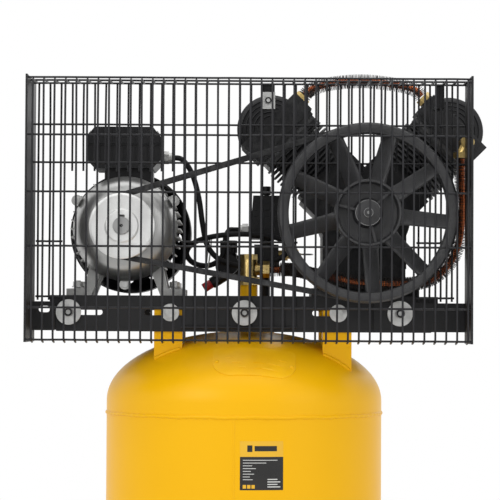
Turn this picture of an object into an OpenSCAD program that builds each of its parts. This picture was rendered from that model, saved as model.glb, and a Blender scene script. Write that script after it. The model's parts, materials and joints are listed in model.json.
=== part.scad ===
// Vertical tank compressor: belt-driven V-twin pump and motor on a yellow air receiver.
// Millimetres, +Z up, floor at z = 0. The belt guard faces -Y and the controls face +Y.

/* [Receiver] */
// Outside diameter of the tank
tank_d = 400; // [380:5:420]
// Wall thickness of the tank
tank_wall = 3; // [2:0.5:5]
// Height of the top of the upper head above the floor
tank_top = 950; // [940:5:960]
// Length of the straight shell between the two heads
tank_shell_len = 662; // [640:2:670]

/* [Deck] */
// Length of the folded deck plate along X
deck_len = 550; // [540:2:560]
// Width of the deck plate along Y
deck_w = 200; // [196:2:204]
// Height of the deck's top face above the top of the tank
deck_gap = 50; // [48:1:54]
// Height of the folded flanges
deck_flange = 51; // [48:1:54]
// Thickness of the deck sheet
deck_t = 3; // [2:0.5:4]

/* [Belt drive] */
// Pitch diameter of the flywheel
fly_pitch_d = 246; // [240:2:250]
// Pitch diameter of the motor pulley
pulley_pitch_d = 86; // [84:2:90]
// Place of the crank axis along X from the tank axis
crank_x = 171.5; // [170:0.5:174]
// Height of the crank axis above the deck
crank_h = 116; // [114:1:118]
// Place of the motor axis along X from the tank axis
motor_x = -171.5; // [-174:0.5:-170]
// Height of the motor axis above the deck
motor_h = 96; // [94:1:98]
// Place of the belt's middle plane along Y
belt_y = -150; // [-152:1:-148]

/* [Guard] */
// Left end of the guard
guard_left = -304; // [-306:1:-302]
// Right end of the guard
guard_right = 315; // [313:1:317]
// Front face of the guard
guard_front = -191; // [-193:1:-190]
// Place of the guard's rear mesh along Y
guard_rear = -105; // [-107:1:-104]
// Height of the guard's lower edge above the floor
guard_low = 936; // [934:1:938]
// Height of the guard's upper edge above the floor
guard_high = 1302; // [1298:1:1306]
// Diameter of the guard wires
wire_d = 3; // [2.6:0.2:3.4]

/* [Pump] */
// Bore of both cylinders
bore_d = 65; // [60:1:68]
// Half of the angle between the two cylinders
vee_half = 45; // [44:0.5:46]
// Number of cooling fins on a cylinder
fin_count = 9; // [7:1:10]
// Crank throw, half of the stroke
crank_throw = 23; // [20:1:24]

/* [Running gear] */
// Diameter of the two wheels
wheel_d = 180; // [170:5:190]
// Width of a wheel
wheel_w = 40; // [36:1:44]
// Distance from the tank axis back to the wheel axis
wheel_y = 205; // [200:1:210]

/* [Hidden] */
$fn = 48;
eps = 0.01;

// The tank axis stands at this place, so that the origin is under the middle of the whole
tank_at = [-25.5, -46.5];

tank_r = tank_d / 2;
head_h = tank_r / 2;
head_top = tank_top - head_h;
head_low = head_top - tank_shell_len;
tank_bottom = head_low - head_h;
deck_z = tank_top + deck_gap;
deck_x = -276;
// Place along Y of the outlet cock
cock_y = 50;
deck_front = -deck_w / 2;
deck_rear = deck_w / 2;
crank_z = deck_z + crank_h;
motor_z = deck_z + motor_h;

tank_yellow = [0.96, 0.70, 0.06];
black_paint = [0.13, 0.13, 0.14];
cast_grey = [0.22, 0.22, 0.23];
aluminium = [0.78, 0.78, 0.76];
bright_steel = [0.72, 0.73, 0.74];
zinc = [0.62, 0.62, 0.60];
brass = [0.80, 0.68, 0.36];
copper = [0.78, 0.38, 0.20];
rubber = [0.09, 0.09, 0.10];
signal_red = [0.78, 0.06, 0.10];
dial_white = [0.93, 0.93, 0.90];

// ---------- helpers ----------

// Moves a shape drawn round the tank axis into the part's frame
module at_tank() {
    translate([tank_at.x, tank_at.y, 0]) children();
}

// A bar whose axis runs along Y from y0 to y1
module y_rod(x, z, r, y0, y1) {
    translate([x, y1, z]) rotate([90, 0, 0]) cylinder(r = r, h = y1 - y0);
}

// A bar whose axis runs along X from x0 to x1
module x_rod(y, z, r, x0, x1) {
    translate([x0, y, z]) rotate([0, 90, 0]) cylinder(r = r, h = x1 - x0);
}

// A bar whose axis runs along Z from z0 to z1
module z_rod(x, y, r, z0, z1) {
    translate([x, y, z0]) cylinder(r = r, h = z1 - z0);
}

// A hexagon along Z with the given width across flats
module z_hex(x, y, flats, z0, z1) {
    translate([x, y, z0]) cylinder(r = flats / sqrt(3), h = z1 - z0, $fn = 6);
}

// A hexagon along Y with the given width across flats
module y_hex(x, z, flats, y0, y1) {
    translate([x, y1, z]) rotate([90, 0, 0]) cylinder(r = flats / sqrt(3), h = y1 - y0, $fn = 6);
}

// A box between two corners
module block(low, high) {
    translate(low) cube(high - low);
}

// A slot through a plate, long along X, cut along Y
module x_slot(x0, x1, z, w, y0, y1) {
    y_rod(x0 + w / 2, z, w / 2, y0, y1);
    y_rod(x1 - w / 2, z, w / 2, y0, y1);
    block([x0 + w / 2, y0, z - w / 2], [x1 - w / 2, y1, z + w / 2]);
}

// Points along an arc from a0 to a1 degrees
function arc(cx, cy, r, a0, a1, n) =
    [for (i = [0 : n]) let(a = a0 + (a1 - a0) * i / n) [cx + r * cos(a), cy + r * sin(a)]];

// ---------- receiver ----------

// Half outline of the tank, drawn in by an inset from the outer face
function tank_outline(inset) = concat(
    [for (i = [0 : 14]) let(a = -90 + 90 * i / 14)
        [(tank_r - inset) * cos(a), head_low + (head_h - inset) * sin(a)]],
    [for (i = [0 : 14]) let(a = 90 * i / 14)
        [(tank_r - inset) * cos(a), head_top + (head_h - inset) * sin(a)]]
);

// The tank as a filled body
// Distance of each round weld from where its domed end begins, and how far the bead stands out
seam_drop = 18;
seam_out = 2;

module tank_body(inset = 0) {
    rotate_extrude($fn = 96) polygon(tank_outline(inset));
    if (inset == 0) for (z = [head_top - seam_drop, head_low + seam_drop])
        rotate_extrude($fn = 96) polygon([
            [tank_r - 1.5, z - 4.5], [tank_r + seam_out, z - 1.5],
            [tank_r + seam_out, z + 1.5], [tank_r - 1.5, z + 4.5]]);
}

// Centre of the outlet stub on top of the tank
stub_x = 6;
// Place of the riser that carries the pressure switch
riser_x = 30;
riser_y = 62;

module tank_shell() {
    color(tank_yellow) at_tank() difference() {
        union() {
            tank_body();
            z_rod(stub_x, 0, 13, tank_top - 6, deck_z + 17);
            z_rod(riser_x, riser_y, 14, tank_top - 14, tank_top + 16);
            z_rod(0, 0, 16, tank_bottom - 20, tank_bottom + 6);
        }
        tank_body(tank_wall);
        z_rod(stub_x, 0, 9, tank_top - 12, deck_z + 20);
        z_rod(riser_x, riser_y, 8, tank_top - 20, tank_top + 20);
        z_rod(0, 0, 8, tank_bottom - 24, tank_bottom + 12);
    }
}

bracket_y = deck_front + deck_t;
bracket_t = 4;
bracket_top = deck_z - 7;
bolt_z = deck_z - 24;
bolt_x = [-105, 133];
bracket_spans = [[-128, -88], [111, 152]];

// One pair of uprights, on the front side when side is -1 and on the rear when it is 1
module bracket_pair(side) {
    for (i = [0, 1]) {
        span = bracket_spans[i];
        inner = i == 0 ? span[1] - bracket_t : span[0];
        difference() {
            union() {
                translate([span[0], side < 0 ? bracket_y : -bracket_y - bracket_t, 890])
                    cube([span[1] - span[0], bracket_t, bracket_top - 890]);
                translate([inner, side < 0 ? bracket_y : -bracket_y - 36, 890])
                    cube([bracket_t, 36, bracket_top - 14 - 890]);
            }
            y_rod(bolt_x[i], bolt_z, 4.5, side * 120 - 40, side * 120 + 40);
        }
    }
}

module tank_brackets() {
    color(tank_yellow) at_tank() difference() {
        union() {
            bracket_pair(-1);
            bracket_pair(1);
        }
        tank_body();
    }
}

plate_w = 115;
plate_h = 66;

module rating_plate() {
    color(tank_yellow) at_tank() intersection() {
        difference() {
            tank_body(-1.4);
            tank_body();
        }
        translate([14, -158, 911]) rotate([33, 0, 0]) linear_extrude(height = 60, center = true)
            polygon(concat(
                arc(plate_w / 2 - 8, plate_h / 2 - 8, 8, 0, 90, 4),
                arc(8 - plate_w / 2, plate_h / 2 - 8, 8, 90, 180, 4),
                arc(28 - plate_w / 2, 28 - plate_h / 2, 28, 180, 270, 8),
                arc(plate_w / 2 - 28, 28 - plate_h / 2, 28, 270, 360, 8)));
    }
}

module tank_label() {
    color(black_paint) at_tank() rotate([0, 0, 268.6])
        rotate_extrude(angle = 17.2, $fn = 96) translate([tank_r, 733]) square([0.4, 67]);
}

leg_angles = [225, 295];
leg_span = 20;
foot_h = 22;

module stand_legs() {
    color(tank_yellow) at_tank() for (a = leg_angles) rotate([0, 0, a]) difference() {
        union() {
            rotate_extrude(angle = leg_span, $fn = 96) translate([tank_r, foot_h]) square([6, 250]);
            rotate_extrude(angle = leg_span, $fn = 96) translate([160, foot_h]) square([42, 6]);
            rotate([0, 0, leg_span / 2]) block([165, -3, foot_h], [201, 3, 150]);
        }
        tank_body();
        rotate([0, 0, leg_span / 2]) z_rod(182, 14, 5.5, foot_h - 1, foot_h + 7);
    }
}

module rubber_feet() {
    color(rubber) at_tank() for (a = leg_angles) rotate([0, 0, a + leg_span / 2]) difference() {
        translate([182, 0, 0]) cylinder(r1 = 24, r2 = 20, h = foot_h);
        z_rod(182, 14, 3.5, 6, foot_h + 1);
    }
}

wheel_r = wheel_d / 2;
fork_x = 138;
fork_t = 6;
wheel_x = 148;
stub_r = 10;

module wheel_forks() {
    color(tank_yellow) at_tank() for (side = [-1, 1]) mirror([side < 0 ? 1 : 0, 0, 0]) {
        difference() {
            translate([fork_x, 0, 0]) rotate([90, 0, 90]) linear_extrude(height = fork_t) polygon([
                [110, 150], [wheel_y - 22, wheel_r - 20], [wheel_y + 22, wheel_r - 20],
                [wheel_y + 22, wheel_r + 24], [178, 290], [130, 300]]);
            tank_body();
        }
        x_rod(wheel_y, wheel_r, stub_r, fork_x + fork_t, wheel_x + wheel_w + 8);
        x_rod(wheel_y, wheel_r, 15, wheel_x + wheel_w + 1.5, wheel_x + wheel_w + 5);
    }
}

// A rubber-tyred wheel with a recessed five-hole web, from x0 outwards
module wheel_at(x0) {
    translate([x0, wheel_y, wheel_r]) rotate([0, 90, 0]) difference() {
        rotate_extrude($fn = 96) polygon([
            [stub_r + 0.08, 2], [24, 2], [24, 14], [58, 14], [64, 5], [74, 5], [80, 0],
            [wheel_r - 4, 2], [wheel_r, 8], [wheel_r, wheel_w - 8], [wheel_r - 4, wheel_w - 2],
            [80, wheel_w], [74, wheel_w - 5], [64, wheel_w - 5], [58, wheel_w - 14],
            [24, wheel_w - 14], [24, wheel_w - 0.6], [stub_r + 0.08, wheel_w - 0.6]
        ]);
        for (k = [0 : 4]) rotate([0, 0, 72 * k]) translate([41, 0, 0]) cylinder(r = 9, h = wheel_w);
    }
}

module wheel_left() {
    color(rubber) at_tank() mirror([1, 0, 0]) wheel_at(wheel_x);
}

module wheel_right() {
    color(rubber) at_tank() wheel_at(wheel_x);
}

handle_z = 730;
handle_x = 110;
handle_y = 262;
handle_bend = 35;
handle_r = 12.5;

module push_handle() {
    color(black_paint) at_tank() difference() {
        union() {
            for (side = [-1, 1]) {
                translate([side * handle_x, 0, handle_z]) rotate([-90, 0, 0])
                    cylinder(r = handle_r, h = handle_y - handle_bend);
                mirror([side < 0 ? 1 : 0, 0, 0])
                    translate([handle_x - handle_bend, handle_y - handle_bend, handle_z])
                    rotate_extrude(angle = 90) translate([handle_bend, 0]) circle(r = handle_r);
            }
            x_rod(handle_y, handle_z, handle_r, handle_bend - handle_x, handle_x - handle_bend);
        }
        tank_body();
    }
}

module handle_grips() {
    color(rubber) at_tank() difference() {
        x_rod(handle_y, handle_z, handle_r + 4, -70, 70);
        x_rod(handle_y, handle_z, handle_r, -71, 71);
    }
}

drain_top = tank_bottom - 20;

module drain_cock() {
    color(brass) at_tank() difference() {
        union() {
            z_rod(0, 0, 8, drain_top, drain_top + 12);
            z_hex(0, 0, 22, drain_top - 10, drain_top);
            z_rod(0, 0, 8, drain_top - 24, drain_top - 9);
        }
        z_rod(0, 0, 4.06, drain_top - 25, drain_top + 13);
    }
}

module drain_handle() {
    color(bright_steel) at_tank() {
        z_rod(0, 0, 4, drain_top - 40, drain_top - 6);
        x_rod(0, drain_top - 36, 3, -18, 18);
    }
}

// ---------- deck and fasteners ----------

slot_spans = [[-259, -201], [-142, -85], [96, 146], [197, 245]];
slot_w = 8;
motor_foot_x = [motor_x - 70, motor_x + 70];
motor_foot_y = [-25, 75];
pump_foot_x = [crank_x - 62, crank_x + 62];
pump_foot_y = [-58, 38];

module platform() {
    chamfer = 10;
    color(black_paint) at_tank() difference() {
        union() {
            block([deck_x, deck_front, deck_z - deck_t], [deck_x + deck_len, deck_rear, deck_z]);
            for (y0 = [deck_front, deck_rear - deck_t])
                translate([deck_x, y0 + deck_t, deck_z - deck_flange]) rotate([90, 0, 0])
                    linear_extrude(height = deck_t) polygon([
                        [0, deck_flange - 1], [0, chamfer], [chamfer, 0],
                        [deck_len - chamfer, 0], [deck_len, chamfer], [deck_len, deck_flange - 1]]);
        }
        for (s = slot_spans) x_slot(s[0], s[1], bolt_z, slot_w, deck_front - 5, deck_rear + 5);
        y_rod(0, bolt_z, 4.2, deck_front - 5, deck_front + 5);
        block([-48, -28, deck_z - 10], [64, 88, deck_z + 5]);
        block([-114, cock_y - 15, deck_z - 10], [-47, cock_y + 13, deck_z + 5]);
        for (x = motor_foot_x, y = motor_foot_y) z_rod(x, y, 4.5, deck_z - 8, deck_z + 2);
        for (x = pump_foot_x, y = pump_foot_y) z_rod(x, y, 4.5, deck_z - 8, deck_z + 2);
    }
}

// A hexagon bolt along Y through both sheets, head towards side
module hex_bolt_y(x, side) {
    face = side * -deck_front;
    y0 = side < 0 ? face - 2 : face;
    h0 = side < 0 ? face - 8 : face + 2;
    y_rod(x, bolt_z, 12.5, y0, y0 + 2);
    y_hex(x, bolt_z, 13, h0, h0 + 6);
    s0 = side < 0 ? face - 2 : face - 20;
    y_rod(x, bolt_z, 3.9, s0, s0 + 22);
    n0 = side < 0 ? face + 7 : face - 13.5;
    y_hex(x, bolt_z, 13, n0, n0 + 6.5);
}

clamp_x = [-249, 0, 220];
mesh_gap = wire_d + 0.2;
// The two straps that hold the guard's top, and the front of the plate clamped on the left one
strap_x = [31, 276];
strap_plate_y = deck_front - 5.8;
guard_plate_t = 3;

// A big clamping washer with a socket screw; out is how far its face stands off the deck flange
module clamp_washer(x, out) {
    y1 = deck_front - out;
    difference() {
        union() {
            y_rod(x, bolt_z, 18, y1 - 2.5, y1);
            y_rod(x, bolt_z, 6.5, y1 - 8.5, y1 - 2.5);
        }
        y_hex(x, bolt_z, 5, y1 - 9, y1 - 4.5);
    }
    y_rod(x, bolt_z, 3.9, y1 - eps, deck_front + 12);
    y_hex(x, bolt_z, 13, deck_front + deck_t, deck_front + deck_t + 6.5);
}

module mounting_bolts() {
    color(zinc) at_tank() {
        for (x = bolt_x) {
            hex_bolt_y(x, -1);
            hex_bolt_y(x, 1);
        }
        clamp_washer(clamp_x[0], mesh_gap);
        clamp_washer(clamp_x[1], mesh_gap);
        clamp_washer(clamp_x[2], mesh_gap + guard_plate_t);
        block([strap_x[0] - 9, strap_plate_y - 2.4, 1265], [strap_x[0] + 11, strap_plate_y, 1289]);
        y_rod(strap_x[0] + 1, 1277, 5, strap_plate_y - 6.5, strap_plate_y - 2.4);
        y_rod(strap_x[0] + 1, 1277, 2.9, strap_plate_y - 1, deck_front - 0.1);
        for (x = pump_foot_x, y = pump_foot_y) {
            z_rod(x, y, 3.9, deck_z - 14, deck_z + 16);
            z_hex(x, y, 13, deck_z + 12, deck_z + 19);
            z_hex(x, y, 13, deck_z - deck_t - 7, deck_z - deck_t);
        }
    }
}

// ---------- guard ----------

wire_r = wire_d / 2;
wire_sides = 8;
front_y = guard_front + wire_r;
cross_y = front_y + wire_d - 0.5;
rear_y = deck_front - wire_r - 0.1;
rear_cross_y = rear_y - wire_d + 0.5;
front_pitch = 15.05;
rear_pitch = 15.85;
strip_t = 3;
front_first = guard_left + strip_t + 7;
front_wires = floor((guard_right - strip_t - 6 - front_first) / front_pitch);
front_rows = [guard_low + 1.5, 982, 1067, 1142, 1221, guard_high - 4.8];
rear_rows_top = [1188, 1242, guard_high - wire_r];
rear_rows_low = [956, 1076];
rear_top_z = 1180;

// Wires along Z at every place in xs
module upright_wires(xs, y, z0, z1) {
    for (x = xs) translate([x, y, z0]) cylinder(r = wire_r, h = z1 - z0, $fn = wire_sides);
}

// Wires along X at every height in zs
module level_wires(zs, y, x0, x1) {
    for (z = zs) translate([x0, y, z]) rotate([0, 90, 0])
        cylinder(r = wire_r, h = x1 - x0, $fn = wire_sides);
}

front_xs = [for (i = [0 : front_wires]) front_first + i * front_pitch];

module guard_front_mesh() {
    color(black_paint) at_tank() {
        upright_wires(front_xs, front_y, guard_low, guard_high - wire_d - 0.2);
        level_wires(front_rows, cross_y, guard_left + strip_t, guard_right - strip_t);
        for (x = front_xs) translate([x, front_y, guard_low + 0.6]) rotate([-97, 0, 0])
            cylinder(r = wire_r, h = 20, $fn = wire_sides);
    }
}

module guard_top_mesh() {
    color(black_paint) at_tank() {
        for (x = front_xs) translate([x, front_y - wire_r, guard_high - wire_r - 0.1]) rotate([-90, 0, 0])
            cylinder(r = wire_r, h = rear_cross_y - front_y - 0.2, $fn = wire_sides);
        level_wires([guard_high + 1], (front_y + rear_y) / 2, guard_left + strip_t, guard_right - strip_t);
    }
}

module guard_rear_top() {
    xs = [for (i = [0 : 37]) guard_left + 11 + i * rear_pitch];
    color(black_paint) at_tank() {
        upright_wires(xs, rear_y, rear_top_z, guard_high);
        level_wires(rear_rows_top, rear_cross_y, guard_left + strip_t, guard_right - strip_t);
    }
}

// Numbers of the rear wires that run down past the motor and the pump
rear_runs = [[0, 2], [13, 23], [34, 37]];

module guard_rear_lower() {
    color(black_paint) at_tank() for (run = rear_runs) {
        xs = [for (i = [run[0] : run[1]]) guard_left + 11 + i * rear_pitch];
        low = run[0] == 13 ? 951 : 993;
        upright_wires(xs, rear_y, low, rear_top_z - 0.05);
        level_wires([1076], rear_cross_y, xs[0] - 3, xs[len(xs) - 1] + 3);
        if (run[0] == 13) level_wires([955], rear_cross_y, xs[0] - 3, xs[len(xs) - 1] + 3);
        if (run[0] != 13) level_wires([998], rear_cross_y, xs[0] - 3, xs[len(xs) - 1] + 3);
    }
}

module guard_side_strips() {
    color(black_paint) at_tank() {
        block([guard_left, guard_front, guard_low - 2], [guard_left + strip_t, -60, guard_high + 2.5]);
        block([guard_right - strip_t, guard_front, guard_low - 2], [guard_right, -98, guard_high + 2.5]);
    }
}

module guard_brackets() {
    y1 = deck_front - mesh_gap;
    y0 = y1 - guard_plate_t;
    color(black_paint) at_tank() {
        difference() {
            block([guard_left + strip_t, y0, 950], [-268, y1, 991]);
            x_slot(-291, -275, bolt_z + 4, 9, y0 - 1, y1 + 1);
        }
        difference() {
            block([183, y0, 950], [guard_right - strip_t, y1, 991]);
            y_rod(clamp_x[2], bolt_z, 4.2, y0 - 1, y1 + 1);
        }
        for (x = strap_x) {
            block([x - 6.5, rear_y + wire_r + 0.1, 1274], [x + 6.5, rear_y + wire_r + 3.1, guard_high]);
            block([x - 6.5, rear_y + wire_r + 0.1, 1268], [x + 6.5, -60, 1271]);
            block([x - 6.5, rear_y + wire_r + 0.1, 1268], [x + 6.5, rear_y + wire_r + 3.1, 1275]);
        }
    }
}

// ---------- motor ----------

// A turned shape about a Y axis; pts are [radius, y] pairs
module y_lathe(x, z, pts) {
    translate([x, 0, z]) rotate([-90, 0, 0]) rotate_extrude($fn = 96) polygon(pts);
}

stator_r = 67;
stator_y0 = -60;
stator_y1 = 90;
shaft_r = 12;

module motor_stator() {
    fins = 40;
    color(aluminium) at_tank() difference() {
        union() {
            translate([motor_x, stator_y1, motor_z]) rotate([90, 0, 0])
                linear_extrude(height = stator_y1 - stator_y0) union() {
                    circle(r = stator_r);
                    for (k = [0 : fins - 1]) rotate(k * 360 / fins)
                        if (abs(k - 10) > 3 && abs(k - 30) > 4) translate([stator_r - 2, -1]) square([14, 2]);
                }
            for (side = [-1, 1], y0 = [-36, 64])
                translate([motor_x, y0 + 22, motor_z]) rotate([90, 0, 0])
                    linear_extrude(height = 22) polygon([
                        [side * 86, -96], [side * 86, -86], [side * 60, -85],
                        [side * 50, -40], [side * 34, -56], [side * 50, -96]]);
        }
        translate([motor_x, stator_y1 + 1, motor_z]) rotate([90, 0, 0])
            cylinder(r = 58, h = stator_y1 - stator_y0 + 2);
        for (x = motor_foot_x, y = motor_foot_y) z_rod(x, y, 4.5, deck_z - 1, deck_z + 20);
    }
}

module motor_windings() {
    color(copper) at_tank() y_lathe(motor_x, motor_z,
        [[41, -46], [56, -46], [58, -32], [58, 60], [56, 74], [41, 74]]);
}

module motor_front_bell() {
    ears = [30, 150, 270];
    color(aluminium) at_tank() {
        y_lathe(motor_x, motor_z, concat(
            [[13, -80], [13, -100], [30, -100]],
            [for (p = arc(38, 66, 34, 90, 5, 7)) [p[0], -p[1]]],
            [[75, -63], [75, -60], [62, -60], [60, -70], [50, -79], [32, -82]],
            [[32, -66], [26, -66], [26, -80]]));
        for (a = ears) difference() {
            y_rod(motor_x + 80 * cos(a), motor_z + 80 * sin(a), 8, -68, -60);
            y_rod(motor_x, motor_z, 75, -70, -58);
            y_rod(motor_x + 80 * cos(a), motor_z + 80 * sin(a), 2.5, -70, -58);
        }
    }
}

module motor_rear_bell() {
    color(aluminium) at_tank() y_lathe(motor_x, motor_z, [
        [13, 98], [13, 104], [66, 104], [66, 90], [60, 90], [58, 98], [32, 98],
        [32, 84], [26, 84], [26, 98]]);
}

cover_r = 90.5;

module motor_fan_cover() {
    color(black_paint) at_tank() difference() {
        y_lathe(motor_x, motor_z, [
            [0, 165], [74, 165], [84, 161], [cover_r, 152], [cover_r, 92],
            [cover_r - 2, 92], [cover_r - 2, 151], [83, 159], [73, 163], [0, 163]]);
        for (k = [0 : 11], r = [30, 50, 68])
            translate([motor_x, 160, motor_z]) rotate([0, 30 * k + r / 2, 0]) translate([r, 0, 0])
                rotate([-90, 0, 0]) cylinder(r = r / 10, h = 10);
    }
}

module motor_fan() {
    color(black_paint) at_tank() {
        difference() {
            y_rod(motor_x, motor_z, 72, 118, 121);
            y_rod(motor_x, motor_z, shaft_r - 2, 110, 150);
        }
        difference() {
            union() {
                y_rod(motor_x, motor_z, 18, 121, 146);
                for (k = [0 : 7]) translate([motor_x, 121, motor_z]) rotate([0, 45 * k, 0])
                    block([16, 0, -1.5], [70, 24, 1.5]);
            }
            y_rod(motor_x, motor_z, shaft_r - 2, 110, 150);
        }
    }
}

module motor_shaft() {
    color(bright_steel) at_tank() {
        difference() {
            y_rod(motor_x, motor_z, shaft_r, belt_y - 19, 100);
            y_rod(motor_x, motor_z, 2, belt_y - 20, belt_y - 12);
        }
        y_rod(motor_x, motor_z, shaft_r - 2, 100, 147);
        difference() {
            y_rod(motor_x, motor_z, 40, -46, 72);
            y_rod(motor_x, motor_z, shaft_r, -48, 74);
        }
    }
}

crank_r = 17.5;

module bearings() {
    color(bright_steel) at_tank() {
        for (y0 = [-80, 84]) difference() {
            y_rod(motor_x, motor_z, 26, y0, y0 + 14);
            y_rod(motor_x, motor_z, shaft_r + 0.05, y0 - 1, y0 + 15);
        }
        for (y0 = [-74, 38]) difference() {
            y_rod(crank_x, crank_z, 36, y0, y0 + 17);
            y_rod(crank_x, crank_z, crank_r + 0.05, y0 - 1, y0 + 18);
        }
    }
}

box_x = -175.5;
box_half = 54.5;
box_y0 = -48;
box_y1 = 62;
box_low = 1184;
box_seam = 1218.6;
box_top = 1244;

// A prism along Y through the terminal box's outline
module box_prism(pts, y0, y1) {
    translate([box_x, y1, 0]) rotate([90, 0, 0]) linear_extrude(height = y1 - y0) polygon(pts);
}

module terminal_box() {
    color(black_paint) at_tank() difference() {
        union() {
            box_prism([[-box_half, box_seam], [-box_half, box_low + 13], [-42, box_low],
                [42, box_low], [box_half, box_low + 13], [box_half, box_seam]], box_y0, box_y1);
            block([box_x - 28, box_y0 + 14, motor_z + 50], [box_x + 40.5, box_y1 - 14, box_low + 1]);
        }
        box_prism([[3 - box_half, box_seam + 1], [3 - box_half, box_low + 14], [-40, box_low + 3],
            [40, box_low + 3], [box_half - 3, box_low + 14], [box_half - 3, box_seam + 1]],
            box_y0 + 3, box_y1 - 3);
        translate([motor_x, box_y1, motor_z]) rotate([90, 0, 0]) cylinder(r = stator_r, h = box_y1 - box_y0);
        x_rod(5, 1203, 6, box_x + box_half - 6, box_x + box_half + 2);
    }
}

module terminal_box_lid() {
    color(black_paint) at_tank() difference() {
        union() {
            box_prism([[-box_half, box_seam], [box_half, box_seam], [box_half, 1228],
                [42, box_top], [-42, box_top], [-box_half, 1228]], box_y0, box_y1);
            for (x = [-46, 46], y = [box_y0 + 7, box_y1 - 7])
                z_rod(box_x + x, y, 5, box_seam, box_top - 8);
        }
        box_prism([[3 - box_half, box_seam - 1], [box_half - 3, box_seam - 1], [box_half - 3, 1227],
            [41, box_top - 3], [-41, box_top - 3], [3 - box_half, 1227]], box_y0 + 14, box_y1 - 14);
    }
}

switch_x = 32;
switch_y = 62;

module cable_glands() {
    gland_x = box_x + box_half;
    color(zinc) at_tank() {
        difference() {
            union() {
                x_rod(5, 1203, 5.9, gland_x - 5, gland_x);
                translate([gland_x, 5, 1203]) rotate([0, 90, 0]) cylinder(r = 9.5, h = 9, $fn = 6);
                x_rod(5, 1203, 7.5, gland_x + 9, gland_x + 16);
            }
            x_rod(5, 1203, 4.5, gland_x - 6, gland_x + 17);
        }
        difference() {
            union() {
                translate([-4, switch_y, 1100]) rotate([0, 90, 0]) cylinder(r = 9.5, h = 9, $fn = 6);
                x_rod(switch_y, 1100, 7.5, -9, -4);
                x_rod(switch_y, 1100, 5.9, 5, 10);
            }
            x_rod(switch_y, 1100, 4.5, -10, 11);
        }
    }
}

module motor_bolts() {
    color(zinc) at_tank() {
        for (a = [30, 150, 270]) {
            y_rod(motor_x + 80 * cos(a), motor_z + 80 * sin(a), 2.4, -69, -54);
            y_rod(motor_x + 80 * cos(a), motor_z + 80 * sin(a), 4.5, -72, -68);
        }
        for (x = motor_foot_x, y = motor_foot_y) {
            z_rod(x, y, 3.9, deck_z - 12, deck_z + 22);
            z_rod(x, y, 9, deck_z + 12, deck_z + 14);
            z_hex(x, y, 13, deck_z + 14, deck_z + 20.5);
            z_hex(x, y, 13, deck_z - deck_t - 6, deck_z - deck_t);
        }
    }
}

// ---------- belt drive ----------

groove_deep = 13;
groove_half = 7.1;
groove_slope = tan(17);
fly_r = fly_pitch_d / 2 + 3;
pulley_r = pulley_pitch_d / 2 + 3;

module motor_pulley() {
    bottom_half = groove_half - groove_deep * groove_slope;
    color(bright_steel) at_tank() difference() {
        y_lathe(motor_x, motor_z, [
            [shaft_r, belt_y - 14], [22, belt_y - 14], [24, belt_y - 11], [pulley_r - 3, belt_y - 11],
            [pulley_r, belt_y - 9.5], [pulley_r, belt_y - groove_half],
            [pulley_r - groove_deep, belt_y - bottom_half], [pulley_r - groove_deep, belt_y + bottom_half],
            [pulley_r, belt_y + groove_half], [pulley_r, belt_y + 9.5], [pulley_r - 3, belt_y + 11],
            [26, belt_y + 11], [22, belt_y + 24], [shaft_r, belt_y + 24]]);
        translate([motor_x - 4, belt_y - 15, motor_z + shaft_r - 1]) cube([8, 40, 4.3]);
    }
}

// The belt's path: straight runs tangent to both pitch circles, drawn at a radius offset
drive_dx = crank_x - motor_x;
drive_dz = crank_h - motor_h;
drive_len = norm([drive_dx, drive_dz]);
drive_tilt = atan2(drive_dz, drive_dx);
wrap = acos((fly_pitch_d - pulley_pitch_d) / 2 / drive_len);
belt_steps = 20;

function belt_loop(off) = concat(
    arc(crank_x, crank_z, fly_pitch_d / 2 + off,
        drive_tilt - 180 + wrap, drive_tilt + 180 - wrap, 2 * belt_steps),
    arc(motor_x, motor_z, pulley_pitch_d / 2 + off,
        drive_tilt + 180 - wrap, drive_tilt + 180 + wrap, belt_steps));

// Belt section: [distance outside the pitch line, half width]
belt_section = [[2.75, -6.5], [2.75, 6.5], [-5.25, 4.05], [-5.25, -4.05]];

module v_belt() {
    loops = [for (s = belt_section) belt_loop(s[0])];
    n = len(loops[0]);
    pts = [for (i = [0 : n - 1]) for (k = [0 : 3]) [loops[k][i][0], belt_y + belt_section[k][1], loops[k][i][1]]];
    faces = [for (i = [0 : n - 1]) for (k = [0 : 3])
        let(j = (i + 1) % n, m = (k + 1) % 4) [4 * i + k, 4 * i + m, 4 * j + m, 4 * j + k]];
    color(rubber) at_tank() polyhedron(pts, faces);
}

blade_count = 9;
rim_in = fly_r - 15;
hub_r = 47;

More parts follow.
